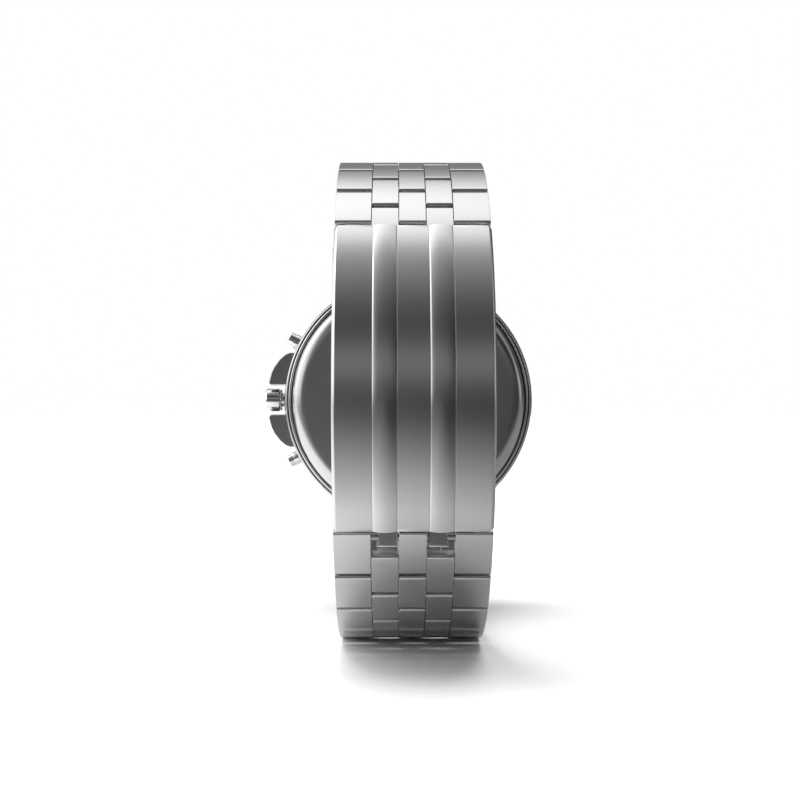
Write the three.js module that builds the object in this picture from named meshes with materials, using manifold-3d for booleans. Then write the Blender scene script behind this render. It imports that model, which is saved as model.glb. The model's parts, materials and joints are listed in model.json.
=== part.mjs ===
// A steel wristwatch for divers with a folding-clasp bracelet, standing on its bracelet.
// Millimetres. +Z points to 12 o'clock, the dial faces -Y, the clasp is at +Y, the crown at +X.
// Sizes below are measured from the centre of the bracelet's loop unless they say otherwise.
import * as THREE from 'three';
import { mergeVertices } from 'three/addons/utils/BufferGeometryUtils.js';
import Module from 'manifold-3d';

const wasm = await Module();
wasm.setup();

// ---------------------------------------------------------------- bracelet sizes
const LOOP_R = 38.2;            // outer face of the links
const LINK_THICK = 3.0;
const BAND_W = 22.0;            // over the outer links
const OUTER_LINK_W = 5.2;
const ROWS_12 = 7;              // wide rows on the 12 o'clock side
const ROWS_6 = 8;               // wide rows on the 6 o'clock side
const COVER_TOP = 40.4;         // degrees round the loop from the clasp side to the first wide row
const LUG_REACH = 7.53;         // how far the first row's outer edge stands beyond the case
const ROW_GAP = 0.6;            // between one wide row and the next
const SIDE_GAP = 0.12;          // between neighbouring columns
const LINK_EDGE = 0.4;          // bevel along a link's outer edges
const PIN_R = 0.5;
const PIN_PLAY = 0.06;
const PIN_SIDES = 6;
const PIN_INSET = 0.3;          // a pin's end lies this far inside the band's side

// ---------------------------------------------------------------- case sizes
const CASE_R = 22.9;
const CASE_SEGMENTS = 48;
const CASE_INSET = 1.73;        // the caseback's flat face stands this far inside the end links' pins
const BACK_BEVEL = 4.4;         // from the case's side to the caseback's flat face
const BACK_STEP = 1.9;          // from the case's side to the caseback's rim
const BACK_T = 2.4;
const CASE_BACK_GAP = 0.3;
const CASE_LENGTH = 7.1;        // middle case, back to front
const BORE_STEP = 0.9;          // the bore is this much wider than the crystal
const WALL_STEP = 0.6;          // the caseback's skirt: its wall, and twice its gap to the bore
const NECK_WALL = 1.5;          // the ring round the crystal, which the bezel turns on
const NECK_H = 3.2;
const CRYSTAL_R = 16.8;
const CRYSTAL_LEDGE = 1.2;
const CRYSTAL_T = 3.1;
const CRYSTAL_PLAY = 0.2;
const BEZEL_LIP = 0.7;          // how far the bezel stands out beyond the case
const BEZEL_H = 4.0;
const BEZEL_PLAY = 0.3;
const BEZEL_NOTCHES = 24;
const FIT = 0.3;                // gap between pieces that rest on each other
const LUG_W = 3.3;
const LUG_GAP = 0.3;            // between a lug and the end link
const SPRING_BAR_R = 0.75;

// ---------------------------------------------------------------- crown and pushers
const CROWN_R = 2.15;
const CROWN_LENGTH = 3.0;
const CROWN_REACH = 3.6;        // beyond the case's side
const GUARD_REACH = 3.1;
const CROWN_TEETH = 16;
const STEM_R = 0.6;
const STEM_PLAY = 0.15;
const CROWN_PULL = 1.0;
const GUARD_SLOT = 2.73;        // half the slot that the crown sits in
const GUARD_T = 4.2;
const PUSHER_ANGLE = 27.5;      // degrees above and below the crown
const PUSHER_R = 1.35;
const PUSHER_REACH = 2.1;
const PUSHER_CAP = 1.1;
const PUSHER_STEM_R = 0.7;

// ---------------------------------------------------------------- movement, dial and hands
const MODULE_PLAY = 1.2;        // from the movement to the bore
const MODULE_T = 5.9;
const DIAL_PLAY = 0.4;
const DIAL_T = 0.5;
const CENTRE_HOLE_R = 1.6;
const BATTERY_R = 4.75;
const BATTERY_T = 2.0;
const BATTERY_AT = [-7.5, 5.0];
const DISPLAY = [10.0, 4.0];
const DISPLAY_Z = -9.0;
const HAND_T = 0.25;
const HAND_STEP = 0.6;          // from one hand to the next

// ---------------------------------------------------------------- clasp sizes
const COVER_INSET = 0.1;        // from the band's side to the cover's side
const COVER_T = 1.2;
const COVER_WALL = 1.2;
const COVER_RISE_END = 1.5;     // the cover's ends stand this far over the links
const COVER_RISE_MID = 2.45;
const COVER_TOP_LAP = 2.9;      // degrees from the cover's ends to the wide rows beside them
const COVER_LOW_LAP = 1.4;
const RIDGE_W = 3.3;
const RIDGE_H = 0.4;
const BLADE_T = 1.0;
const BLADE_GAP = 0.6;
const BLADE_PLAY = 1.1;         // from a blade's edge to the cover's side wall
const FORK_PLAY = 0.18;         // from the fork's arms to the spring bar
const KNUCKLE_R = 0.95;
const KNUCKLE_MID = 4.4;        // width of the end blade's knuckle
const HINGE_6 = 5.3;            // degrees from the cover's ends to the two hinges
const HINGE_12 = 15.0;
const ARM_PLAY = 0.2;           // from the fork's arms to the centre link
const ARM_W = 2.3;
const ARM_PAST = 1.4;           // degrees that the arms reach past the spring bar

// ---------------------------------------------------------------- worked-out values
const rad = THREE.MathUtils.degToRad;
const deg = THREE.MathUtils.radToDeg;
const LINK_IN = LOOP_R - LINK_THICK;
const PIN_CIRCLE = LOOP_R - LINK_THICK / 2;
const INNER_LINK_W = (BAND_W - 2 * OUTER_LINK_W) / 3;
const END_ANGLE = 180 - deg(Math.asin((CASE_R + LUG_REACH) / LOOP_R));
const PITCH = (END_ANGLE - COVER_TOP) / ROWS_12;
const COVER_LOW = END_ANGLE - ROWS_6 * PITCH;
const BACK_FACE = -PIN_CIRCLE * Math.cos(rad(END_ANGLE + PITCH / 4)) - CASE_INSET;
const CASE_BACK = BACK_FACE + BACK_T + CASE_BACK_GAP;
const CASE_FRONT = CASE_BACK + CASE_LENGTH;
const CROWN_D = (CASE_BACK + CASE_FRONT) / 2;
const NECK_FRONT = CASE_FRONT + NECK_H;
const BORE_R = CRYSTAL_R + BORE_STEP;
const NECK_R = CRYSTAL_R + CRYSTAL_PLAY + NECK_WALL;
const BEZEL_R = CASE_R + BEZEL_LIP;
const CROWN_END = CASE_R + CROWN_REACH;
const PUSHER_END = CASE_R + PUSHER_REACH;
const MODULE_R = BORE_R - MODULE_PLAY;
const COVER_W = BAND_W - 2 * COVER_INSET;
const BLADE_W = COVER_W - 2 * (COVER_WALL + BLADE_PLAY);
const LUG_IN = BAND_W / 2 + LUG_GAP;

/** A point [y, z] at a radius and an angle round the loop: 0 is the clasp side, 90 the top. */
const polar = (radius, degrees) => [radius * Math.cos(rad(degrees)), radius * Math.sin(rad(degrees))];

// ---------------------------------------------------------------- solids
/** A closed geometry as a Manifold. */
function solid(geometry) {
  geometry.deleteAttribute('normal');
  geometry.deleteAttribute('uv');
  const merged = mergeVertices(geometry, 1e-5);
  const index = merged.index.array;
  const triangles = [];
  for (let i = 0; i < index.length; i += 3) {
    const [a, b, c] = index.slice(i, i + 3);
    if (a !== b && b !== c && c !== a) triangles.push(a, b, c);
  }
  return new wasm.Manifold(new wasm.Mesh({
    numProp: 3,
    vertProperties: new Float32Array(merged.attributes.position.array),
    triVerts: new Uint32Array(triangles),
  }));
}

/** A Manifold as a geometry with flat-shaded faces. */
function geometryOf(manifold) {
  const mesh = manifold.getMesh();
  const indexed = new THREE.BufferGeometry();
  indexed.setAttribute('position', new THREE.BufferAttribute(new Float32Array(mesh.vertProperties), 3));
  indexed.setIndex(new THREE.BufferAttribute(new Uint32Array(mesh.triVerts), 1));
  const geometry = indexed.toNonIndexed();
  geometry.computeVertexNormals();
  return geometry;
}

const join = (...solids) => solids.reduce((a, b) => a.add(b));
const cut = (from, ...tools) => tools.reduce((a, b) => a.subtract(b), from);

const counterClockwise = (points) => (THREE.ShapeUtils.area(points) < 0 ? points.reverse() : points);
const vectors = (outline) => counterClockwise(outline.map(([a, b]) => new THREE.Vector2(a, b)));

/** An outline extruded by depth along local Z. */
function extruded(outline, depth, holes = []) {
  const shape = new THREE.Shape(vectors(outline));
  shape.holes = holes.map((hole) => new THREE.Path(vectors(hole)));
  return new THREE.ExtrudeGeometry(shape, { depth, bevelEnabled: false });
}

const YZ_ALONG_X = new THREE.Matrix4().makeBasis(
  new THREE.Vector3(0, 1, 0), new THREE.Vector3(0, 0, 1), new THREE.Vector3(1, 0, 0));
const ZX_ALONG_Y = new THREE.Matrix4().makeBasis(
  new THREE.Vector3(0, 0, 1), new THREE.Vector3(1, 0, 0), new THREE.Vector3(0, 1, 0));

/** An outline of [y, z] points, extruded across the band from one x to another. */
function across(outline, fromX, toX, holes) {
  const geometry = extruded(outline, toX - fromX, holes).translate(0, 0, fromX);
  return solid(geometry.applyMatrix4(YZ_ALONG_X));
}

/** An outline of [x, z] points, extruded through the case; depths count from the loop's centre. */
function through(outline, nearDepth, farDepth, holes = []) {
  const swap = (points) => points.map(([x, z]) => [z, x]);
  const geometry = extruded(swap(outline), farDepth - nearDepth, holes.map(swap));
  return solid(geometry.translate(0, 0, -farDepth).applyMatrix4(ZX_ALONG_Y));
}

/** A ring or disc turned about the case's axis from [radius, depth] points. */
function turned(profile, segments = CASE_SEGMENTS) {
  const points = vectors(profile.map(([radius, depth]) => [radius, -depth]));
  return solid(new THREE.LatheGeometry([...points, points[0]], segments));
}

/** A regular polygon of [a, b] points about a centre. */
function polygon(centre, radius, sides, turn = 0) {
  return Array.from({ length: sides }, (_, i) => {
    const angle = turn + (i * 2 * Math.PI) / sides;
    return [centre[0] + radius * Math.cos(angle), centre[1] + radius * Math.sin(angle)];
  });
}

/** A round bar or drill along X at [y, z]. */
const barAcross = (at, radius, fromX, toX, sides = 8) => across(polygon(at, radius, sides), fromX, toX);

/** The radius of a polygon hole that leaves play round a polygon bar. */
const holeRadius = (barRadius, play, sides) => (barRadius + play) / Math.cos(Math.PI / sides);

const mirrored = (manifold) => manifold.mirror([0, 0, 1]);

// ---------------------------------------------------------------- materials
const FINISHES = {
  brushed: { color: 0xb4b5b7, roughness: 0.34, metalness: 1 },
  polished: { color: 0xc6c7c9, roughness: 0.14, metalness: 1 },
  dark_steel: { color: 0x8b8c8f, roughness: 0.3, metalness: 1 },
  black: { color: 0x141518, roughness: 0.45, metalness: 0.1 },
  rubber: { color: 0x1b1b1c, roughness: 0.85, metalness: 0 },
  brass: { color: 0xb79a5a, roughness: 0.35, metalness: 1 },
  lcd: { color: 0x8f9a86, roughness: 0.25, metalness: 0 },
  white: { color: 0xe9ece6, roughness: 0.5, metalness: 0 },
  glass: { color: 0xdfe8ee, roughness: 0.03, metalness: 0, transparent: true, opacity: 0.25 },
};

const watch = new THREE.Group();

/** Adds one named mesh to a group. */
function addPart(name, manifold, finish, group = watch) {
  const mesh = new THREE.Mesh(geometryOf(manifold), new THREE.MeshStandardMaterial(FINISHES[finish]));
  mesh.name = name;
  group.add(mesh);
  return mesh;
}

// ---------------------------------------------------------------- bracelet links
/** Where a link's end face lies, at a radius from the loop's centre. */
const linkEnd = (radius) => radius * Math.tan(rad(PITCH / 2)) - ROW_GAP / 2;

/** One side of a link's outline, from its outer face inwards, as [radius, distance along]. */
const wideEnd = () => [
  [LOOP_R, 1.4],
  [LOOP_R - 0.12, linkEnd(LOOP_R) - LINK_EDGE],
  [LOOP_R - LINK_EDGE, linkEnd(LOOP_R - LINK_EDGE)],
  [LINK_IN + 0.3, linkEnd(LINK_IN + 0.3)],
  [LINK_IN, linkEnd(LINK_IN) - 0.3],
];

const WEB_HALF = 0.5;           // the web that joins a wide row lies between the narrow links' ends
const WEB_TOP = -0.45;          // from the pin circle
const WEB_LOW = -1.35;
const STEP_UP = -0.1;           // a narrow link's ends are cut back below this, to clear the web
const STEP_BACK = 0.45;

const narrowEnd = () => [
  ...wideEnd().slice(0, 3),
  [PIN_CIRCLE + STEP_UP, linkEnd(PIN_CIRCLE + STEP_UP)],
  [PIN_CIRCLE + STEP_UP, linkEnd(PIN_CIRCLE) - STEP_BACK],
  [LINK_IN, linkEnd(LINK_IN) - STEP_BACK - 0.3],
];

/** A link's whole outline from one end, mirrored about its middle. */
const linkOutline = (end) => [...end, ...end.map(([y, z]) => [y, -z]).reverse()];

const PIN_AT = [polar(PIN_CIRCLE, PITCH / 4), polar(PIN_CIRCLE, -PITCH / 4)];
const pinHole = (at) => polygon(at, holeRadius(PIN_R, PIN_PLAY, PIN_SIDES), PIN_SIDES);

/** The columns that a wide row fills, as [from, to] in x. */
const COLUMNS = [
  [-BAND_W / 2, -BAND_W / 2 + OUTER_LINK_W - SIDE_GAP / 2],
  [-INNER_LINK_W / 2 + SIDE_GAP / 2, INNER_LINK_W / 2 - SIDE_GAP / 2],
  [BAND_W / 2 - OUTER_LINK_W + SIDE_GAP / 2, BAND_W / 2],
];

/** The columns that a narrow pair fills. */
const NARROW_COLUMNS = [-1, 1].map((side) => {
  const ends = [side * (INNER_LINK_W / 2 + SIDE_GAP / 2), side * (1.5 * INNER_LINK_W - SIDE_GAP / 2)];
  return ends.sort((a, b) => a - b);
});

/** Two outer links and a centre link on one web, at angle 0 of the loop. */
function wideLink() {
  const outline = linkOutline(wideEnd());
  const plates = COLUMNS.map(([from, to]) => across(outline, from, to, PIN_AT.map(pinHole)));
  const web = [[WEB_LOW, -WEB_HALF], [WEB_TOP, -WEB_HALF], [WEB_TOP, WEB_HALF], [WEB_LOW, WEB_HALF]];
  const reach = BAND_W / 2 - OUTER_LINK_W + 0.5;
  return join(...plates, across(web.map(([out, along]) => [PIN_CIRCLE + out, along]), -reach, reach));
}

/** Two narrow links and the two pins pressed through them. */
function narrowLink() {
  const outline = linkOutline(narrowEnd());
  const plates = NARROW_COLUMNS.map(([from, to]) => across(outline, from, to));
  const reach = BAND_W / 2 - PIN_INSET;
  return join(...plates, ...PIN_AT.map((at) => barAcross(at, PIN_R, -reach, reach, PIN_SIDES)));
}

/** One side of the bracelet, counted from the case outwards. */
function addBraceletSide(side, sign, rows) {
  const wide = wideLink();
  const narrow = narrowLink();
  for (let row = 0; row <= rows; row++) {
    const narrowAngle = END_ANGLE - row * PITCH;
    if (sign > 0 || row < rows) {
      addPart(`narrow_link_${side}_${row + 1}`, narrow, 'brushed').rotation.x = rad(sign * narrowAngle);
    }
    if (row < rows) {
      const wideAngle = narrowAngle - PITCH / 2;
      addPart(`wide_link_${side}_${row + 1}`, wide, 'brushed').rotation.x = rad(sign * wideAngle);
    }
  }
}

// ---------------------------------------------------------------- end links and case
const LUG_BAR = [-(CASE_BACK + 3.5), CASE_R + 2.7];   // the spring bar between two lugs
const lugPin = polar(PIN_CIRCLE, END_ANGLE + PITCH / 4);
const lugHoleR = holeRadius(SPRING_BAR_R, 0.1, 8);

/** The piece that fills the gap between the lugs, with fingers for the first narrow pair. */
function endLink() {
  const gapAngle = deg(ROW_GAP / 2 / PIN_CIRCLE);
  const nearFace = [LINK_IN, LOOP_R - LINK_EDGE].map((r) => polar(r, END_ANGLE + gapAngle));
  const bodyStart = END_ANGLE + PITCH / 2 + 2 * gapAngle;
  const frontY = -(CASE_FRONT - FIT);
  const outline = (face) => [
    face[0],
    face[1],
    [-(CASE_BACK + 3.2), CASE_R + 5.3],
    [frontY, CASE_R + 2.6],
    [frontY, CASE_R - 3],
    [-(CASE_BACK - 0.6), CASE_R - 3],
  ];
  const fingers = COLUMNS.map(([from, to]) => across(outline(nearFace), from, to));
  const body = across(outline([LINK_IN, LOOP_R].map((r) => polar(r, bodyStart))),
    COLUMNS[0][0], COLUMNS[2][1]);
  return cut(join(body, ...fingers),
    turned([[0, 0], [CASE_R + FIT, 0], [CASE_R + FIT, LOOP_R], [0, LOOP_R]]),
    across(pinHole(lugPin), -BAND_W, BAND_W),
    barAcross(LUG_BAR, lugHoleR, -BAND_W, BAND_W));
}

/** A lug at the upper right, as a plate beside the end link. */
function lug() {
  const [barY, barZ] = LUG_BAR;
  const outline = [
    [-(CASE_FRONT - 0.4), CASE_R - 8],
    [-(CASE_FRONT - 0.4), barZ - 0.6],
    [barY - 1.2, barZ + 1.9],
    [barY + 2.2, barZ + 2.9],
    [barY + 4.2, barZ + 2.1],
    [barY + 4.4, barZ + 0.4],
    [barY + 2.4, barZ - 3.4],
    [-(CASE_BACK + 1.3), CASE_R - 8],
  ];
  return across(outline, LUG_IN, LUG_IN + LUG_W);
}

/** The wing above the crown. */
function crownGuard() {
  const tip = CASE_R + GUARD_REACH;
  const outline = [
    [CASE_R - 3.5, GUARD_SLOT],
    [tip - 0.35, GUARD_SLOT],
    [tip, GUARD_SLOT + 0.37],
    [tip - 0.6, 5.1],
    [tip - 1.2, 6.3],
    [tip - 2.2, 7.6],
    [tip - 3.3, 8.5],
    [tip - 4.1, 8.8],
    [CASE_R - 3.5, 8.8],
  ];
  return through(outline, CROWN_D - GUARD_T / 2, CROWN_D + GUARD_T / 2);
}

/** A round bar along a radius of the case, at the crown's depth and an angle above it. */
function radialBar(radius, from, to, degrees, sides = 8) {
  return barAcross([0, 0], radius, from, to, sides).rotate([0, -degrees, 0]).translate([0, -CROWN_D, 0]);
}

/** The middle case with its lugs, crown guards and neck. */
function caseBody() {
  const outside = turned([
    [0, CASE_BACK], [CASE_R - 1.5, CASE_BACK], [CASE_R - 0.5, CASE_BACK + 0.8], [CASE_R, CASE_BACK + 1.8],
    [CASE_R, CASE_FRONT - 0.6], [CASE_R - 0.4, CASE_FRONT], [NECK_R, CASE_FRONT], [NECK_R, NECK_FRONT],
    [0, NECK_FRONT],
  ]);
  const upper = lug();
  const guard = crownGuard();
  const lugs = [upper, upper.mirror([1, 0, 0])].flatMap((piece) => [piece, mirrored(piece)]);
  const seat = CASE_FRONT + 1.2;
  const ledge = CASE_FRONT - 0.6;
  const crystalBore = CRYSTAL_R + CRYSTAL_PLAY;
  const inside = turned([
    [0, CASE_BACK - 1], [BORE_R, CASE_BACK - 1], [BORE_R, ledge], [CRYSTAL_R - CRYSTAL_LEDGE, ledge],
    [CRYSTAL_R - CRYSTAL_LEDGE, seat], [crystalBore, seat], [crystalBore, NECK_FRONT + 1],
    [0, NECK_FRONT + 1],
  ]);
  const gasketGroove = turned([
    [BORE_R + 0.3, CASE_BACK - 1], [BORE_R + 1.7, CASE_BACK - 1], [BORE_R + 1.7, CASE_BACK + 1.2],
    [BORE_R + 0.3, CASE_BACK + 1.2],
  ]);
  const springGroove = turned([
    [NECK_R + 1.1, CASE_FRONT - 0.6], [NECK_R + 2.9, CASE_FRONT - 0.6], [NECK_R + 2.9, CASE_FRONT + 1],
    [NECK_R + 1.1, CASE_FRONT + 1],
  ]);
  const pusherHoles = [1, -1].map((up) =>
    radialBar(holeRadius(PUSHER_STEM_R, 0.12, 8), BORE_R - 2, CASE_R + 2, up * PUSHER_ANGLE));
  return cut(join(outside, ...lugs, guard, mirrored(guard)),
    inside, gasketGroove, springGroove, ...pusherHoles,
    radialBar(holeRadius(STEM_R, STEM_PLAY, 8), BORE_R - 2, CASE_R + 2, 0),
    ...[LUG_BAR, [LUG_BAR[0], -LUG_BAR[1]]].map((at) => barAcross(at, lugHoleR, -BAND_W, BAND_W)));
}

/** The screw-in back: a flat face, a wide bevel, and a skirt inside the bore. */
function caseback() {
  const skirt = BORE_R - WALL_STEP / 2;
  const rim = BACK_FACE + BACK_T;
  return turned([
    [0, BACK_FACE], [CASE_R - BACK_BEVEL, BACK_FACE], [CASE_R - BACK_BEVEL + 1.4, BACK_FACE + 0.5],
    [CASE_R - BACK_STEP, rim - 0.8], [CASE_R - BACK_STEP, rim], [skirt, rim], [skirt, rim + 1.5],
    [skirt - WALL_STEP, rim + 1.5], [skirt - WALL_STEP, BACK_FACE + 1.4], [0, BACK_FACE + 1.4],
  ]);
}

function addCase() {
  addPart('case_body', caseBody(), 'brushed');
  addPart('caseback', caseback(), 'dark_steel');
  addPart('caseback_gasket', turned([
    [BORE_R + 0.5, CASE_BACK - 0.1], [BORE_R + 1.5, CASE_BACK - 0.1],
    [BORE_R + 1.5, CASE_BACK + 0.9], [BORE_R + 0.5, CASE_BACK + 0.9],
  ], 32), 'rubber');
  const upperEnd = endLink();
  const reach = LUG_IN + LUG_W - 0.8;
  const upperBar = barAcross(LUG_BAR, SPRING_BAR_R, -reach, reach);
  addPart('end_link_12', upperEnd, 'brushed');
  addPart('end_link_6', mirrored(upperEnd), 'brushed');
  addPart('spring_bar_12', upperBar, 'dark_steel');
  addPart('spring_bar_6', mirrored(upperBar), 'dark_steel');
}

// ---------------------------------------------------------------- bezel and crystal
const BEZEL_BACK = CASE_FRONT + BEZEL_PLAY;
const BEZEL_FRONT = BEZEL_BACK + BEZEL_H;
const INSERT_T = 0.4;
const INSERT_IN = CRYSTAL_R + 1.0;
const INSERT_OUT = BEZEL_R - 2.0;

/** The turning bezel, with finger notches round its edge and a recess for its insert. */
function bezel() {
  const recess = BEZEL_FRONT - INSERT_T;
  const ring = turned([
    [NECK_R + BEZEL_PLAY, BEZEL_BACK], [BEZEL_R - 0.5, BEZEL_BACK], [BEZEL_R, BEZEL_BACK + 0.5],
    [BEZEL_R, BEZEL_FRONT - 1.4], [BEZEL_R - 1.4, BEZEL_FRONT], [INSERT_OUT + 0.1, BEZEL_FRONT],
    [INSERT_OUT + 0.1, recess], [INSERT_IN - 0.5, recess], [INSERT_IN - 0.5, NECK_FRONT + 0.25],
    [NECK_R + BEZEL_PLAY, NECK_FRONT + 0.25],
  ]);
  const notches = Array.from({ length: BEZEL_NOTCHES }, (_, i) => {
    const angle = (i + 0.5) * 2 * Math.PI / BEZEL_NOTCHES;
    const centre = [(BEZEL_R + 0.6) * Math.cos(angle), (BEZEL_R + 0.6) * Math.sin(angle)];
    return through(polygon(centre, 1.0, 6, angle), BEZEL_BACK + 1.2, BEZEL_FRONT + 1);
  });
  return cut(ring, ...notches);
}

function addBezel() {
  const recess = BEZEL_FRONT - INSERT_T;
  addPart('bezel', bezel(), 'polished');
  addPart('bezel_insert', turned([
    [INSERT_IN, recess + 0.05], [INSERT_OUT, recess + 0.05],
    [INSERT_OUT, BEZEL_FRONT], [INSERT_IN, BEZEL_FRONT],
  ]), 'black');
  addPart('bezel_click_spring', turned([
    [NECK_R + 1.3, CASE_FRONT - 0.5], [NECK_R + 2.7, CASE_FRONT - 0.5],
    [NECK_R + 2.7, CASE_FRONT - 0.05], [NECK_R + 1.3, CASE_FRONT - 0.05],
  ], 32), 'brass');
  const crystalBack = CASE_FRONT + 1.2 + FIT;
  addPart('crystal', turned([
    [0, crystalBack], [CRYSTAL_R, crystalBack], [CRYSTAL_R, crystalBack + CRYSTAL_T - 0.5],
    [CRYSTAL_R - 0.5, crystalBack + CRYSTAL_T], [0, crystalBack + CRYSTAL_T],
  ]), 'glass');
}

// ---------------------------------------------------------------- crown, stem and pushers
const CROWN_AT = [-CROWN_D, 0];
const CROWN_IN = CROWN_END - CROWN_LENGTH;
const LEVER_X = MODULE_R - 2.3;
const LEVER_T = 0.6;

/** The toothed crown with its collar, bored for the stem. */
function crown() {
  const teeth = Array.from({ length: 2 * CROWN_TEETH }, (_, i) => {
    const radius = i % 2 ? CROWN_R : CROWN_R - 0.22;
    const angle = (i * Math.PI) / CROWN_TEETH;
    return [CROWN_AT[0] + radius * Math.cos(angle), radius * Math.sin(angle)];
  });
  const cap = barAcross(CROWN_AT, CROWN_R - 0.45, CROWN_END - 0.5, CROWN_END, 16);
  const collar = barAcross(CROWN_AT, 0.85, CASE_R + 0.2, CROWN_IN + 0.5, 12);
  return cut(join(across(teeth, CROWN_IN, CROWN_END - 0.4), cap, collar),
    barAcross(CROWN_AT, holeRadius(STEM_R, 0.05, 8), CASE_R - 1, CROWN_END - 1.2));
}

/** The stem, with the groove that the setting lever's fork sits in. */
function windingStem() {
  const grooveFrom = LEVER_X - 0.15;
  const grooveTo = LEVER_X + LEVER_T + 0.15;
  return join(
    barAcross(CROWN_AT, STEM_R, LEVER_X - 1, grooveFrom),
    barAcross(CROWN_AT, STEM_R - 0.25, grooveFrom - 0.1, grooveTo + 0.1),
    barAcross(CROWN_AT, STEM_R, grooveTo, CROWN_END - 1.4));
}

/** A forked plate that slides with the stem and doesn't turn. */
function settingLever() {
  const half = 1.6;
  const slot = STEM_R - 0.15;
  const backY = -(BACK_FACE + 2.6);
  const frontY = -(CROWN_D + 0.7);
  return across([
    [backY, -half], [backY, half], [frontY, half], [frontY, slot], [-(CROWN_D - slot), slot],
    [-(CROWN_D - slot), -slot], [frontY, -slot], [frontY, -half],
  ], LEVER_X, LEVER_X + LEVER_T);
}

/** A pusher: a cap outside the case and a stem through its wall. */
function pusher(up) {
  const angle = up * PUSHER_ANGLE;
  return join(
    radialBar(PUSHER_R, PUSHER_END - PUSHER_CAP, PUSHER_END, angle, 16),
    radialBar(PUSHER_STEM_R, BORE_R - 0.1, PUSHER_END - PUSHER_CAP / 2, angle));
}

function addControls() {
  addPart('crown', crown(), 'polished');
  addPart('winding_stem', windingStem(), 'dark_steel');
  addPart('setting_lever', settingLever(), 'brass');
  addPart('pusher_2', pusher(1), 'polished');
  addPart('pusher_4', pusher(-1), 'polished');
}

// ---------------------------------------------------------------- movement, dial and hands
const DIAL_BACK = CASE_FRONT - 0.6 - FIT - DIAL_T;
const MODULE_BACK = DIAL_BACK - FIT - MODULE_T;

const rectangle = (x, z, width, height) => [
  [x - width / 2, z - height / 2], [x + width / 2, z - height / 2],
  [x + width / 2, z + height / 2], [x - width / 2, z + height / 2],
];

/** The electronic movement, with pockets for the battery, the display and the setting lever. */
function movement() {
  const disc = turned([[0, MODULE_BACK], [MODULE_R, MODULE_BACK],
    [MODULE_R, MODULE_BACK + MODULE_T], [0, MODULE_BACK + MODULE_T]]);
  const leverRoom = LEVER_T + CROWN_PULL + 1.0;
  const stemBore = barAcross(CROWN_AT, holeRadius(STEM_R, STEM_PLAY, 8), LEVER_X - 1.6, MODULE_R + 1);
  return cut(disc,
    through(polygon([0, 0], CENTRE_HOLE_R, 12), MODULE_BACK - 1, MODULE_BACK + MODULE_T + 1),
    through(polygon(BATTERY_AT, BATTERY_R + FIT, 24), MODULE_BACK - 1, MODULE_BACK + BATTERY_T + FIT),
    through(rectangle(0, DISPLAY_Z, DISPLAY[0] + FIT, DISPLAY[1] + FIT),
      MODULE_BACK + MODULE_T - 1.2, MODULE_BACK + MODULE_T + 1),
    through(rectangle(LEVER_X + leverRoom / 2 - 0.5, 0, leverRoom, 3.8), MODULE_BACK - 1, CROWN_D + 1.0),
    stemBore);
}

/** The dial, with its centre hole and the display's window. */
function dial() {
  return through(polygon([0, 0], BORE_R - DIAL_PLAY, CASE_SEGMENTS), DIAL_BACK, DIAL_BACK + DIAL_T, [
    polygon([0, 0], CENTRE_HOLE_R, 12),
    rectangle(0, DISPLAY_Z, DISPLAY[0] - 1.2, DISPLAY[1] - 1.2),
  ]);
}

const DIAL_VIEW_R = CRYSTAL_R - CRYSTAL_LEDGE;

/** A pointed hand's outline: its half width, its tail, and its length from the dial's centre. */
const handOutline = (half, tail, length, tipHalf) => [
  [-half, -tail], [half, -tail], [1.4 * half, 0.7 * length], [tipHalf, length],
  [-tipHalf, length], [-1.4 * half, 0.7 * length],
];

/** A hand with its hub, on a tube or post that runs back through the dial. */
function hand(outline, level, hubR, postR, boreR) {
  const near = DIAL_BACK + DIAL_T + 0.4 + level * HAND_STEP;
  const post = through(polygon([0, 0], postR, 12), DIAL_BACK - 1.5, near + HAND_T);
  const hub = through(polygon([0, 0], hubR, 16), near, near + HAND_T);
  const blank = join(through(outline, near, near + HAND_T), hub, post);
  return boreR ? cut(blank, through(polygon([0, 0], boreR, 12), DIAL_BACK - 3, near + 2)) : blank;
}

function addInside() {
  addPart('movement', movement(), 'brass');
  addPart('battery', through(polygon(BATTERY_AT, BATTERY_R, 24), MODULE_BACK, MODULE_BACK + BATTERY_T),
    'dark_steel');
  addPart('display_panel', through(rectangle(0, DISPLAY_Z, DISPLAY[0], DISPLAY[1]),
    MODULE_BACK + MODULE_T - 0.9, MODULE_BACK + MODULE_T), 'lcd');
  addPart('dial', dial(), 'black');
  const hour = handOutline(0.9, 2.5, DIAL_VIEW_R - 6.2, 0.15);
  const minute = handOutline(0.7, 3, DIAL_VIEW_R - 1.2, 0.12);
  const seconds = handOutline(0.25, 5, DIAL_VIEW_R - 0.8, 0.1);
  addPart('hour_hand', hand(hour, 0, 2.1, 1.35, 1.0), 'white');
  addPart('minute_hand', hand(minute, 1, 1.6, 0.85, 0.55), 'white');
  addPart('seconds_hand', hand(seconds, 2, 1.0, 0.4, 0), 'white');
}

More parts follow.
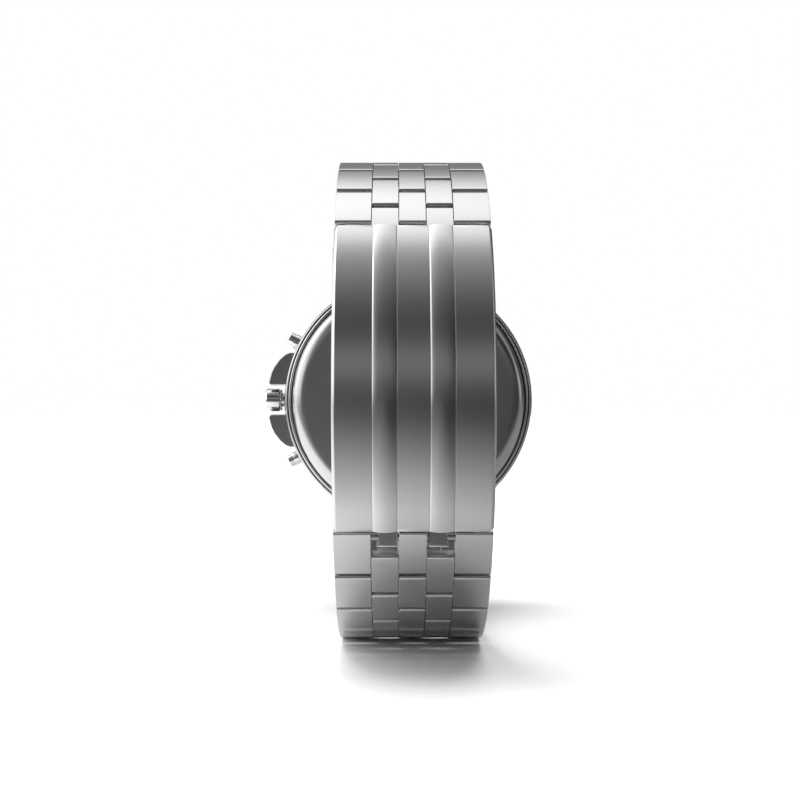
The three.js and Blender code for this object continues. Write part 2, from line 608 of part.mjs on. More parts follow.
// ---------------------------------------------------------------- folding clasp
// The cover is an arc through its two ends and its middle. The clasp's pieces are drawn about the
// arc's own centre, with angles from the arc's middle, and then placed in the loop.
const COVER_HALF = (COVER_TOP - COVER_TOP_LAP + COVER_LOW - COVER_LOW_LAP) / 2;
const COVER_MID = (COVER_TOP - COVER_TOP_LAP - COVER_LOW + COVER_LOW_LAP) / 2;
const [COVER_END_Y, COVER_END_Z] = polar(LOOP_R + COVER_RISE_END, COVER_HALF);
const COVER_CREST = LOOP_R + COVER_RISE_MID;
const COVER_SAG = COVER_CREST - COVER_END_Y;
const COVER_R = (COVER_SAG ** 2 + COVER_END_Z ** 2) / (2 * COVER_SAG);
const COVER_CENTRE = COVER_CREST - COVER_R;
const COVER_ARC = deg(Math.atan2(COVER_END_Z, COVER_END_Y - COVER_CENTRE));
const COVER_UNDER = COVER_R - COVER_T;

/** A loop point [y, z] as the clasp's own drawing has it. */
function inClasp([y, z]) {
  const angle = rad(-COVER_MID);
  return [
    y * Math.cos(angle) - z * Math.sin(angle) - COVER_CENTRE,
    y * Math.sin(angle) + z * Math.cos(angle),
  ];
}

const COVER_PIN = inClasp(polar(PIN_CIRCLE, COVER_TOP - PITCH / 4));
const FORK_BAR = inClasp(polar(PIN_CIRCLE, -(COVER_LOW + PITCH / 4)));
const FORK_END = deg(Math.atan2(FORK_BAR[1], FORK_BAR[0])) - ARM_PAST;

// The blades lie in layers: the end blade passes inside the spring bar, the middle blade over it.
const END_OUT = Math.hypot(...FORK_BAR) - PIN_R - FORK_PLAY;
const END_IN = END_OUT - BLADE_T;
const MIDDLE_IN = END_OUT + BLADE_GAP;
const MIDDLE_OUT = MIDDLE_IN + BLADE_T;
const HINGE_6_AT = polar((MIDDLE_IN + MIDDLE_OUT) / 2, -(COVER_ARC - HINGE_6));
const HINGE_12_AT = polar((MIDDLE_IN + END_OUT) / 2, COVER_ARC - HINGE_12);
const knuckleBore = holeRadius(PIN_R, PIN_PLAY, 8);

/** A curved strip between two radii and two angles, from one x to another. */
function strip(inner, outer, fromAngle, toAngle, fromX, toX, steps = 12) {
  const angles = Array.from({ length: steps + 1 }, (_, i) => fromAngle + (i * (toAngle - fromAngle)) / steps);
  const outline = [
    ...angles.map((angle) => polar(outer, angle)),
    ...angles.reverse().map((angle) => polar(inner, angle)),
  ];
  return across(outline, fromX, toX);
}

/** The cover: a curved plate with two ridges, and side walls that hold both its pins. */
function claspCover() {
  const half = COVER_W / 2;
  const plate = strip(COVER_UNDER, COVER_R, -COVER_ARC, COVER_ARC, -half, half);
  const ridgeAt = INNER_LINK_W;
  const ridges = [-1, 1].map((side) =>
    strip(COVER_R - 0.4, COVER_R + RIDGE_H, -COVER_ARC + 0.6, COVER_ARC - 0.6,
      side * ridgeAt - RIDGE_W / 2, side * ridgeAt + RIDGE_W / 2));
  const walls = [-1, 1].map((side) => {
    const [from, to] = [side * half, side * (half - COVER_WALL)].sort((a, b) => a - b);
    const wall = strip(END_OUT + 0.3, COVER_UNDER + 0.4, -COVER_ARC + 0.3, COVER_ARC - 0.4, from, to);
    return join(wall, barAcross(COVER_PIN, 1.3, from, to, 12));
  });
  const pinBore = polygon(COVER_PIN, holeRadius(PIN_R, PIN_PLAY, PIN_SIDES), PIN_SIDES, rad(PITCH / 4));
  return cut(join(plate, ...ridges, ...walls),
    across(pinBore, -BAND_W, BAND_W),
    barAcross(HINGE_6_AT, knuckleBore, -BAND_W, BAND_W));
}

/** A knuckle round a hinge, still to be bored. */
const knuckle = (at, fromX, toX) => barAcross(at, KNUCKLE_R, fromX, toX, 12);

/** The blade hinged to the cover's lower end, folded up under it. */
function middleBlade() {
  const half = BLADE_W / 2;
  const mid = KNUCKLE_MID / 2 + 0.2;
  const from = -(COVER_ARC - HINGE_6);
  const to = COVER_ARC - HINGE_12;
  const sheet = cut(
    strip(MIDDLE_IN, MIDDLE_OUT, from, to, -half, half),
    strip(END_IN, COVER_UNDER, to - 4, to + 4, -mid, mid, 3));
  const outerKnuckles = [[-half, -mid], [mid, half]].map(([fromX, toX]) => knuckle(HINGE_12_AT, fromX, toX));
  return cut(
    join(sheet, knuckle(HINGE_6_AT, -half, half), ...outerKnuckles),
    barAcross(HINGE_6_AT, knuckleBore, -BAND_W, BAND_W),
    barAcross(HINGE_12_AT, knuckleBore, -BAND_W, BAND_W));
}

/** The blade next to the wrist, whose forked end takes the spring bar of the last wide row. */
function endBlade() {
  const half = BLADE_W / 2;
  const mid = KNUCKLE_MID / 2;
  const hinge = COVER_ARC - HINGE_12;
  const sheetEnd = -(COVER_ARC + 0.5);
  const sheet = strip(END_IN, END_OUT, sheetEnd, hinge - 3, -half, half);
  const tongue = strip(END_IN, END_OUT, hinge - 4, hinge, -mid, mid, 2);
  const arms = [-1, 1].map((side) => {
    const near = INNER_LINK_W / 2 + ARM_PLAY;
    const [from, to] = [side * near, side * (near + ARM_W)].sort((a, b) => a - b);
    return strip(END_IN, END_OUT, FORK_END, sheetEnd + 1, from, to, 4);
  });
  return cut(join(sheet, tongue, ...arms, knuckle(HINGE_12_AT, -mid, mid)),
    barAcross(HINGE_12_AT, knuckleBore, -BAND_W, BAND_W));
}

function addClasp() {
  const clasp = new THREE.Group();
  clasp.rotation.x = rad(COVER_MID);
  [clasp.position.y, clasp.position.z] = polar(COVER_CENTRE, COVER_MID);
  watch.add(clasp);
  addPart('clasp_cover', claspCover(), 'brushed', clasp);
  addPart('clasp_middle_blade', middleBlade(), 'polished', clasp);
  addPart('clasp_end_blade', endBlade(), 'polished', clasp);
  const wallReach = COVER_W / 2 - PIN_INSET;
  const bladeReach = BLADE_W / 2 - PIN_INSET;
  addPart('clasp_hinge_pin_6', barAcross(HINGE_6_AT, PIN_R, -wallReach, wallReach), 'dark_steel', clasp);
  addPart('clasp_hinge_pin_12', barAcross(HINGE_12_AT, PIN_R, -bladeReach, bladeReach), 'dark_steel', clasp);
  const barReach = BAND_W / 2 - PIN_INSET;
  const bar = barAcross(PIN_AT[0], PIN_R, -barReach, barReach, PIN_SIDES);
  addPart('clasp_spring_bar', bar, 'dark_steel').rotation.x = rad(-(COVER_LOW + PITCH / 2));
}

// ---------------------------------------------------------------- assembly
addBraceletSide(12, 1, ROWS_12);
addBraceletSide(6, -1, ROWS_6);
addCase();
addBezel();
addControls();
addInside();
addClasp();

// The origin is under the middle of the whole watch, on the surface that it stands on.
const CREST_Y = polar(COVER_CENTRE, COVER_MID)[0] + COVER_R + RIDGE_H;
const FRONT_Y = -(CASE_FRONT + 1.2 + FIT + CRYSTAL_T);
watch.position.set(-(CROWN_END - BEZEL_R) / 2, -(CREST_Y + FRONT_Y) / 2, LOOP_R);

export default watch;
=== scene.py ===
import json
import math

import bmesh
import bpy
from mathutils import Matrix, Vector


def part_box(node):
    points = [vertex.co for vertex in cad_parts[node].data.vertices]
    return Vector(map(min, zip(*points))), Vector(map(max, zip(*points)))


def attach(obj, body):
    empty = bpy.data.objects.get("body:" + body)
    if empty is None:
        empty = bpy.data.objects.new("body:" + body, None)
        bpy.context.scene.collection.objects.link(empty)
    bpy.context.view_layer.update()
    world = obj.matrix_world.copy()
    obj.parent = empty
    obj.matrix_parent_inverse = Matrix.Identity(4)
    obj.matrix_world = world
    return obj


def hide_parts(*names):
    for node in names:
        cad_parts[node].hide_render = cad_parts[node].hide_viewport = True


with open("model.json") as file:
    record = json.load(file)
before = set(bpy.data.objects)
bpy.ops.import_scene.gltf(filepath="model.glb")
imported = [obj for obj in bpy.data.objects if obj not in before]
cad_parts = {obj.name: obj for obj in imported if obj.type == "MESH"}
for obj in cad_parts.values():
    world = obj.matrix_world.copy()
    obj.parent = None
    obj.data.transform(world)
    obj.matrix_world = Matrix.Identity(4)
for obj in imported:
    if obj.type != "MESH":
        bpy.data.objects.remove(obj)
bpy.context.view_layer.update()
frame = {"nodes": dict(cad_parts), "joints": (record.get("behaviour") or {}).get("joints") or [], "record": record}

MM = 0.001
JOINTS = {joint["name"]: joint for joint in frame["joints"]}
BODY_OF = {node: body for body, nodes in frame["record"]["behaviour"]["bodies"].items() for node in nodes}


# ---------------------------------------------------------------- places taken from the frame
def circle_through(a, b, c):
    """Centre (y, z) and radius of the circle through three points (y, z)."""
    (ay, az), (by, bz), (cy, cz) = a, b, c
    d = 2 * (ay * (bz - cz) + by * (cz - az) + cy * (az - bz))
    sa, sb, sc = ay * ay + az * az, by * by + bz * bz, cy * cy + cz * cz
    y = (sa * (bz - cz) + sb * (cz - az) + sc * (az - bz)) / d
    z = (sa * (cy - by) + sb * (ay - cy) + sc * (by - ay)) / d
    return y, z, math.hypot(ay - y, az - z)


def pin_place(name):
    """A link pin's place (y, z), in metres."""
    return JOINTS[name]["pos_m"][1:]


loop_y, loop_z, pin_circle = circle_through(*(pin_place(f"link_pin_12_{pin}") for pin in (1, 9, 16)))
CENTRE = Vector((JOINTS["link_pin_12_1"]["pos_m"][0], loop_y, loop_z))
AT_LOOP = Matrix.Translation(CENTRE)
LOOP_R = loop_z / MM                # the lowest link stands on the floor
PIN_CIRCLE = pin_circle / MM


def pin_angle(name):
    """A link pin's angle round the loop: 0 is the clasp side, 90 the top."""
    y, z = pin_place(name)
    return math.degrees(math.atan2(z - CENTRE.z, y - CENTRE.y))


def extent(node):
    """A node's lowest and highest corner, in millimetres from the loop's centre."""
    low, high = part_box(node)
    return (Vector(low) - CENTRE) / MM, (Vector(high) - CENTRE) / MM


ROWS_12, ROWS_6 = 7, 8
PITCH = (pin_angle("link_pin_12_1") - pin_angle("link_pin_12_5")) / 2
END_ANGLE = pin_angle("link_pin_12_1") - PITCH / 4
COVER_TOP = pin_angle("link_pin_12_16") + PITCH / 4
COVER_LOW = END_ANGLE - ROWS_6 * PITCH

# ---------------------------------------------------------------- bracelet sizes
LINK_T = 2 * (LOOP_R - PIN_CIRCLE)
LINK_IN = LOOP_R - LINK_T
BAND_HALF = extent("wide_link_12_1")[1].x
OUTER_W = 5.2
INNER_W = (2 * BAND_HALF - 2 * OUTER_W) / 3
ROW_GAP = 0.6
SIDE_GAP = 0.08
LINK_ROUND = 0.55                   # rounding of a link's ends
SIDE_ROUND = 0.07                   # rounding of a link's long edges
PIN_R = 0.5
PIN_RECESS = 0.3

# ---------------------------------------------------------------- clasp sizes
COVER_HALF = extent("clasp_cover")[1].x
COVER_T = 1.2
COVER_WALL = 1.2
COVER_RISE_END = 1.5
COVER_RISE_MID = 2.45
TOP_LAP = 2.9
LOW_LAP = 1.4
CHAMFER = 0.4
RIDGE_HALF = 1.65
RIDGE_H = 0.3
RIDGE_GROOVE = 0.06
BLADE_T = 1.0
BLADE_GAP = 0.6
BLADE_HALF = COVER_HALF - COVER_WALL - 1.1
KNUCKLE_R = 0.95
KNUCKLE_MID = 2.2


def polar(radius, degrees):
    return radius * math.cos(math.radians(degrees)), radius * math.sin(math.radians(degrees))


cover_reach = (COVER_TOP - TOP_LAP + COVER_LOW - LOW_LAP) / 2
COVER_MID = (COVER_TOP - TOP_LAP - COVER_LOW + LOW_LAP) / 2
end_y, end_z = polar(LOOP_R + COVER_RISE_END, cover_reach)
crest = LOOP_R + COVER_RISE_MID
COVER_R = ((crest - end_y) ** 2 + end_z ** 2) / (2 * (crest - end_y))
COVER_CENTRE = crest - COVER_R
COVER_ARC = math.degrees(math.atan2(end_z, end_y - COVER_CENTRE))
COVER_UNDER = COVER_R - COVER_T
clasp_y, clasp_z = polar(COVER_CENTRE, COVER_MID)
AT_CLASP = (Matrix.Translation(CENTRE + Vector((0, clasp_y, clasp_z)) * MM)
            @ Matrix.Rotation(math.radians(COVER_MID), 4, "X"))


def in_clasp(y, z):
    """A loop point (y, z) as the clasp's own drawing has it."""
    place = AT_CLASP.inverted() @ (CENTRE + Vector((0, y, z)) * MM)
    return place.y / MM, place.z / MM


def hinge_in_clasp(name):
    y, z = pin_place(name)
    return in_clasp((y - CENTRE.y) / MM, (z - CENTRE.z) / MM)


COVER_PIN = hinge_in_clasp("link_pin_12_16")
HINGE_6 = hinge_in_clasp("clasp_hinge_6")
HINGE_12 = hinge_in_clasp("clasp_hinge_12")
FORK_BAR = in_clasp(*polar(PIN_CIRCLE, -(COVER_LOW + PITCH / 4)))
FORK_ANGLE = math.degrees(math.atan2(FORK_BAR[1], FORK_BAR[0]))
END_OUT = math.hypot(*FORK_BAR) - PIN_R - 0.18
END_IN = END_OUT - BLADE_T
MIDDLE_IN = END_OUT + BLADE_GAP
MIDDLE_OUT = MIDDLE_IN + BLADE_T

# ---------------------------------------------------------------- case sizes
back_low, back_high = extent("caseback")
case_low, case_high = extent("case_body")
bezel_low, bezel_high = extent("bezel")
crystal_low, crystal_high = extent("crystal")
insert_low, insert_high = extent("bezel_insert")
dial_low, dial_high = extent("dial")
crown_low, crown_high = extent("crown")
CASE_R = -case_low.x
BACK_Y = back_high.y                # the caseback's flat face
BACK_RIM_Y = BACK_Y - 2.4
CASE_BACK_Y = BACK_RIM_Y - 0.3
CASE_FRONT_Y = bezel_high.y + 0.3
NECK_FRONT_Y = CASE_FRONT_Y - 3.2
BEZEL_R = bezel_high.x
BEZEL_BACK_Y, BEZEL_FRONT_Y = bezel_high.y, bezel_low.y
CRYSTAL_R = crystal_high.x
BORE_R = CRYSTAL_R + 0.9
NECK_R = CRYSTAL_R + 1.7
CROWN_Y = (crown_low.y + crown_high.y) / 2
CROWN_R = crown_high.z
LUG_BAR_Y = CASE_BACK_Y - 3.5
LUG_BAR_Z = CASE_R + 2.7
DIAL_Y = dial_low.y                 # the dial's face
DIAL_R = dial_high.x


# ---------------------------------------------------------------- shapes: (vertices, faces)
def shapes_joined(*shapes):
    """Several shapes as one."""
    vertices, faces = [], []
    for some_vertices, some_faces in shapes:
        start = len(vertices)
        vertices += some_vertices
        faces += [[index + start for index in face] for face in some_faces]
    return vertices, faces


def lofted(rings, closed=False):
    """A skin over rings of equal length, with a face on both end rings unless it closes on itself."""
    count, size = len(rings), len(rings[0])
    vertices = [tuple(point) for ring in rings for point in ring]
    faces = []
    for row in range(count if closed else count - 1):
        after = (row + 1) % count
        for i in range(size):
            k = (i + 1) % size
            faces.append([row * size + i, row * size + k, after * size + k, after * size + i])
    if not closed:
        faces.append(list(range(size))[::-1])
        faces.append([(count - 1) * size + i for i in range(size)])
    return vertices, faces


def prism(outline, from_x, to_x):
    """An outline of (y, z) points, from one x to another."""
    return lofted([[(x, y, z) for y, z in outline] for x in (from_x, to_x)])


def slab(outline, from_y, to_y):
    """An outline of (x, z) points, from one y to another."""
    return lofted([[(x, y, z) for x, z in outline] for y in (from_y, to_y)])


def turned(profile, segments=160, radius_at=None):
    """A closed profile of (radius, y) points turned about the case's axis."""
    rings = []
    for i in range(segments):
        angle = 2 * math.pi * i / segments
        ring = []
        for radius, y in profile:
            r = radius_at(radius, y, angle) if radius_at else radius
            ring.append((r * math.cos(angle), y, r * math.sin(angle)))
        rings.append(ring)
    return lofted(rings, closed=True)


def turned_across(profile, at, segments=32, radius_at=None):
    """A closed profile of (radius, x) points turned about a line along X at (y, z)."""
    vertices, faces = turned(profile, segments, radius_at)
    return [(x, at[0] + a, at[1] + b) for a, x, b in vertices], faces


def moved(shape, matrix):
    vertices, faces = shape
    return [tuple(matrix @ Vector(vertex)) for vertex in vertices], faces


def rounded(points, radius, steps=4, corners=None):
    """A closed outline with its corners rounded, all of them or those listed."""
    outline = []
    for i, point in enumerate(points):
        here = Vector(point)
        before, after = Vector(points[i - 1]), Vector(points[(i + 1) % len(points)])
        to_before, to_after = (before - here).normalized(), (after - here).normalized()
        turn = math.acos(max(-1, min(1, to_before.dot(to_after))))
        if (corners is not None and i not in corners) or turn > math.radians(172) or turn < 1e-4:
            outline.append(tuple(here))
            continue
        reach = min(radius / math.tan(turn / 2), 0.45 * min((before - here).length, (after - here).length))
        size = reach * math.tan(turn / 2)
        middle = here + (to_before + to_after).normalized() * size / math.sin(turn / 2)
        start, end = here + to_before * reach - middle, here + to_after * reach - middle
        for step in range(steps + 1):
            part = step / steps
            blend = (start * (1 - part) + end * part).normalized() * size
            outline.append(tuple(middle + blend))
    return outline


def round_bar(radius, reach, at, dome=0.12, segments=24):
    """A round bar along X with domed ends, from -reach to reach or from reach[0] to reach[1]."""
    low, high = reach if isinstance(reach, tuple) else (-reach, reach)
    arc = [(radius - dome + dome * math.cos(a), dome * math.sin(a)) for a in
           (0, math.pi / 6, math.pi / 3, math.pi / 2)]
    profile = [(0, low), *[(r, low + dome - x) for r, x in arc[::-1]],
               *[(r, high - dome + x) for r, x in arc], (0, high)]
    return turned_across(profile, at, segments)


def strip(inner, outer, from_angle, to_angle, from_x, to_x, steps=36):
    """A curved strip between two radii and two angles; from_x and to_x may vary along it."""
    rings = []
    for step in range(steps + 1):
        part = step / steps
        angle = from_angle + part * (to_angle - from_angle)
        near = from_x(part) if callable(from_x) else from_x
        far = to_x(part) if callable(to_x) else to_x
        inside, outside = polar(inner, angle), polar(outer, angle)
        rings.append([(near, *inside), (far, *inside), (far, *outside), (near, *outside)])
    return lofted(rings)


# ---------------------------------------------------------------- materials
def node_tree(name):
    material = bpy.data.materials.new(name)
    material.use_nodes = True
    return material, material.node_tree, material.node_tree.nodes["Principled BSDF"]


def add(tree, kind, **values):
    """A node with its inputs set by name, or its properties where it has no such input."""
    node = tree.nodes.new(kind)
    for key, value in values.items():
        if key in node.inputs:
            node.inputs[key].default_value = value
        else:
            setattr(node, key, value)
    return node


def grain_vector(tree, grain):
    """Coordinates that stretch a noise the way a surface was brushed or turned."""
    coordinates = add(tree, "ShaderNodeTexCoord")
    if grain == "round":
        parts = add(tree, "ShaderNodeSeparateXYZ")
        tree.links.new(coordinates.outputs["Object"], parts.inputs[0])
        flat = add(tree, "ShaderNodeCombineXYZ")
        tree.links.new(parts.outputs["X"], flat.inputs["X"])
        tree.links.new(parts.outputs["Z"], flat.inputs["Z"])
        length = add(tree, "ShaderNodeVectorMath", operation="LENGTH")
        tree.links.new(flat.outputs[0], length.inputs[0])
        result = add(tree, "ShaderNodeCombineXYZ")
        tree.links.new(length.outputs["Value"], result.inputs["X"])
        slow = add(tree, "ShaderNodeVectorMath", operation="MULTIPLY")
        slow.inputs[1].default_value = (0.02, 0.02, 0.02)
        tree.links.new(coordinates.outputs["Object"], slow.inputs[0])
        total = add(tree, "ShaderNodeVectorMath", operation="ADD")
        tree.links.new(result.outputs[0], total.inputs[0])
        tree.links.new(slow.outputs[0], total.inputs[1])
        return total.outputs[0]
    stretch = {"band": (1, 0.03, 0.03), "across": (0.03, 1, 1), "depth": (1, 0.04, 1), "none": (1, 1, 1)}[grain]
    mapping = add(tree, "ShaderNodeMapping", Scale=stretch)
    tree.links.new(coordinates.outputs["Object"], mapping.inputs["Vector"])
    return mapping.outputs[0]


def metal(name, colour, roughness, spread=0.025, grain="none", lines=4200, bump=0.012, stain=0.03):
    """Steel or brass: a fine grain in its roughness and relief, and a slow unevenness in its colour."""
    material, tree, surface = node_tree(name)
    surface.inputs["Metallic"].default_value = 1
    fine = add(tree, "ShaderNodeTexNoise", Scale=lines, Detail=3, Roughness=0.6)
    tree.links.new(grain_vector(tree, grain), fine.inputs["Vector"])
    rough = add(tree, "ShaderNodeMapRange")
    rough.inputs["To Min"].default_value = roughness - spread
    rough.inputs["To Max"].default_value = roughness + spread
    tree.links.new(fine.outputs["Fac"], rough.inputs["Value"])
    tree.links.new(rough.outputs["Result"], surface.inputs["Roughness"])
    relief = add(tree, "ShaderNodeBump", Strength=bump, Distance=0.00002)
    tree.links.new(fine.outputs["Fac"], relief.inputs["Height"])
    tree.links.new(relief.outputs["Normal"], surface.inputs["Normal"])
    slow = add(tree, "ShaderNodeTexNoise", Scale=120, Detail=4)
    plain = add(tree, "ShaderNodeTexCoord")
    tree.links.new(plain.outputs["Object"], slow.inputs["Vector"])
    mix = add(tree, "ShaderNodeMix", data_type="RGBA")
    dull = tuple(value * (1 - 2 * stain) for value in colour)
    mix.inputs["A"].default_value = (*dull, 1)
    mix.inputs["B"].default_value = (*colour, 1)
    tree.links.new(slow.outputs["Fac"], mix.inputs["Factor"])
    tree.links.new(mix.outputs["Result"], surface.inputs["Base Color"])
    return material


def coated(name, colour, roughness, speck=0.25, scale=2600, bump=0.08, coat=0.0):
    """Lacquer, rubber or luminous paint: a speckled colour with a fine relief."""
    material, tree, surface = node_tree(name)
    surface.inputs["Coat Weight"].default_value = coat
    noise = add(tree, "ShaderNodeTexNoise", Scale=scale, Detail=5)
    plain = add(tree, "ShaderNodeTexCoord")
    tree.links.new(plain.outputs["Object"], noise.inputs["Vector"])
    mix = add(tree, "ShaderNodeMix", data_type="RGBA")
    mix.inputs["A"].default_value = (*[value * (1 - speck) for value in colour], 1)
    mix.inputs["B"].default_value = (*[min(1, value * (1 + speck)) for value in colour], 1)
    tree.links.new(noise.outputs["Fac"], mix.inputs["Factor"])
    tree.links.new(mix.outputs["Result"], surface.inputs["Base Color"])
    rough = add(tree, "ShaderNodeMapRange")
    rough.inputs["To Min"].default_value = roughness - 0.08
    rough.inputs["To Max"].default_value = roughness + 0.08
    tree.links.new(noise.outputs["Fac"], rough.inputs["Value"])
    tree.links.new(rough.outputs["Result"], surface.inputs["Roughness"])
    relief = add(tree, "ShaderNodeBump", Strength=bump, Distance=0.00002)
    tree.links.new(noise.outputs["Fac"], relief.inputs["Height"])
    tree.links.new(relief.outputs["Normal"], surface.inputs["Normal"])
    return material


def glass(name):
    """Clear sapphire with a trace of smears in its gloss."""
    material, tree, surface = node_tree(name)
    surface.inputs["Base Color"].default_value = (0.97, 0.985, 1, 1)
    surface.inputs["Transmission Weight"].default_value = 1
    surface.inputs["IOR"].default_value = 1.5
    smear = add(tree, "ShaderNodeTexNoise", Scale=180, Detail=2)
    plain = add(tree, "ShaderNodeTexCoord")
    tree.links.new(plain.outputs["Object"], smear.inputs["Vector"])
    rough = add(tree, "ShaderNodeMapRange")
    rough.inputs["To Min"].default_value = 0.0
    rough.inputs["To Max"].default_value = 0.02
    tree.links.new(smear.outputs["Fac"], rough.inputs["Value"])
    tree.links.new(rough.outputs["Result"], surface.inputs["Roughness"])
    return material


STEEL = (0.62, 0.625, 0.63)
FINISHES = {
    "band": metal("steel_brushed_along", STEEL, 0.25, spread=0.012, grain="band", bump=0.003, stain=0.015),
    "cover": metal("steel_brushed_cover", STEEL, 0.24, spread=0.012, grain="band", lines=5200, bump=0.003, stain=0.015),
    "case": metal("steel_turned_satin", STEEL, 0.2, grain="round", lines=5200, bump=0.01),
    "back": metal("steel_round_satin", (0.56, 0.565, 0.57), 0.24, grain="round", lines=6400),
    "polished": metal("steel_polished", (0.68, 0.69, 0.7), 0.13, spread=0.02, lines=2400, bump=0.006),
    "blade": metal("steel_polished_blade", (0.64, 0.65, 0.66), 0.2, grain="band", lines=3200, bump=0.01),
    "pin": metal("steel_turned_pin", (0.5, 0.505, 0.51), 0.3, grain="across", lines=5200),
    "cell": metal("nickel_can", (0.62, 0.62, 0.6), 0.28, grain="round", lines=5200),
    "brass": metal("brass_satin", (0.72, 0.58, 0.32), 0.32, grain="depth", lines=3600, bump=0.08),
    "rubber": coated("nitrile_rubber", (0.03, 0.03, 0.03), 0.75),
    "dial": coated("dial_lacquer", (0.008, 0.009, 0.012), 0.45, speck=0.4, scale=5200),
    "insert": coated("insert_anodised", (0.01, 0.01, 0.012), 0.35, speck=0.4, scale=6000),
    "display": coated("display_glass", (0.36, 0.4, 0.33), 0.16, speck=0.06, scale=3400, bump=0.01, coat=0.8),
    "digit": coated("display_segments", (0.02, 0.024, 0.02), 0.3, scale=3000),
    "lume": coated("luminous_paint", (0.84, 0.87, 0.8), 0.55, speck=0.08, scale=5200, bump=0.2),
    "crystal": glass("sapphire"),
}


# ---------------------------------------------------------------- pieces
def mesh_of(name, shape):
    """A closed mesh in metres, with shared vertices merged and faces pointing out."""
    vertices, faces = shape
    mesh = bpy.data.meshes.new(name)
    mesh.from_pydata([(x * MM, y * MM, z * MM) for x, y, z in vertices], [], faces)
    work = bmesh.new()
    work.from_mesh(mesh)
    bmesh.ops.remove_doubles(work, verts=work.verts, dist=1e-7)
    bmesh.ops.dissolve_degenerate(work, edges=work.edges, dist=1e-8)
    bmesh.ops.recalc_face_normals(work, faces=work.faces)
    work.to_mesh(mesh)
    work.free()
    mesh.polygons.foreach_set("use_smooth", [True] * len(mesh.polygons))
    return mesh


def soften(obj, edge, edge_angle):
    """Rounds the sharp edges and keeps flat faces flat in the shading."""
    if edge:
        bevel = obj.modifiers.new("round_edges", "BEVEL")
        bevel.width = edge * MM
        bevel.segments = 3
        bevel.limit_method = "ANGLE"
        bevel.angle_limit = math.radians(edge_angle)
        bevel.use_clamp_overlap = True
    weighted = obj.modifiers.new("flat_faces", "WEIGHTED_NORMAL")
    weighted.keep_sharp = True


def piece(name, shape, body, finish, replaced=(), edge=0.0, edge_angle=40, place=AT_LOOP, sharp=None):
    """One detailed piece: a mesh, its place, its finish, the body it rides on and what it replaces."""
    mesh = shape if isinstance(shape, bpy.types.Mesh) else mesh_of(name, shape)
    obj = bpy.data.objects.new(name, mesh)
    bpy.context.scene.collection.objects.link(obj)
    obj.matrix_world = place
    if sharp:
        mesh.set_sharp_from_angle(angle=math.radians(sharp))
    if not mesh.materials:
        mesh.materials.append(FINISHES[finish])
    soften(obj, edge, edge_angle)
    bpy.context.view_layer.update()
    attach(obj, body)
    if replaced:
        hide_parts(*replaced)
    return obj


def carved(name, shape, edge, cutters):
    """A mesh with its edges rounded and then with shapes cut out of it."""
    blank = bpy.data.objects.new(name, mesh_of(name, shape))
    tool = bpy.data.objects.new(name + "_cut", mesh_of(name + "_cut", cutters))
    for obj in (blank, tool):
        bpy.context.scene.collection.objects.link(obj)
    if edge:
        bevel = blank.modifiers.new("round_edges", "BEVEL")
        bevel.width = edge * MM
        bevel.segments = 3
        bevel.limit_method = "ANGLE"
        bevel.angle_limit = math.radians(50)
    hollow = blank.modifiers.new("cut", "BOOLEAN")
    hollow.operation = "DIFFERENCE"
    hollow.solver = "EXACT"
    hollow.object = tool
    bpy.context.view_layer.update()
    mesh = bpy.data.meshes.new_from_object(blank.evaluated_get(bpy.context.evaluated_depsgraph_get()))
    mesh.name = name
    for obj in (blank, tool):
        bpy.data.objects.remove(obj)
    mesh.polygons.foreach_set("use_smooth", [True] * len(mesh.polygons))
    mesh.set_sharp_from_angle(angle=math.radians(50))
    return mesh


def dress(node, finish):
    """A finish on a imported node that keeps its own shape."""
    obj = frame["nodes"][node]
    obj.data.materials.clear()
    obj.data.materials.append(FINISHES[finish])


# ---------------------------------------------------------------- bracelet
def link_outline(end_back=0.0):
    """A link's outline (y, z) at angle 0 of the loop, with a rounded outer face and ends."""
    half = math.tan(math.radians(PITCH / 2))
    out_z = (LOOP_R - 0.1) * half - ROW_GAP / 2
    in_z = LINK_IN * half - ROW_GAP / 2 - end_back
    arc_steps = 8
    reach = math.degrees(math.asin(out_z / LOOP_R))
    outer = [polar(LOOP_R, reach * (1 - 2 * i / arc_steps)) for i in range(arc_steps + 1)]
    if end_back:
        step_y = PIN_CIRCLE - 0.1
        step_z = step_y * half - ROW_GAP / 2
        back = [(step_y, step_z), (step_y, step_z - end_back + 0.02)]
        low = rounded([(step_y, -step_z), (step_y, -step_z + end_back), (LINK_IN + 0.9, -in_z), (LINK_IN, -in_z + 1.1),
                       (LINK_IN, 0)], 0.7, 5, (2, 3))[1:-1]
        points = [*outer, back[0][:1] + (-step_z,), *low, *[(y, -z) for y, z in low[::-1]], back[0]]
        corners = (0, arc_steps)
    else:
        points = [*outer, (LINK_IN, -in_z), (LINK_IN, in_z)]
        corners = (0, arc_steps, arc_steps + 1, arc_steps + 2)
    return rounded(points, LINK_ROUND, 5, corners)


PIN_PLACES = [polar(PIN_CIRCLE, PITCH / 4), polar(PIN_CIRCLE, -PITCH / 4)]


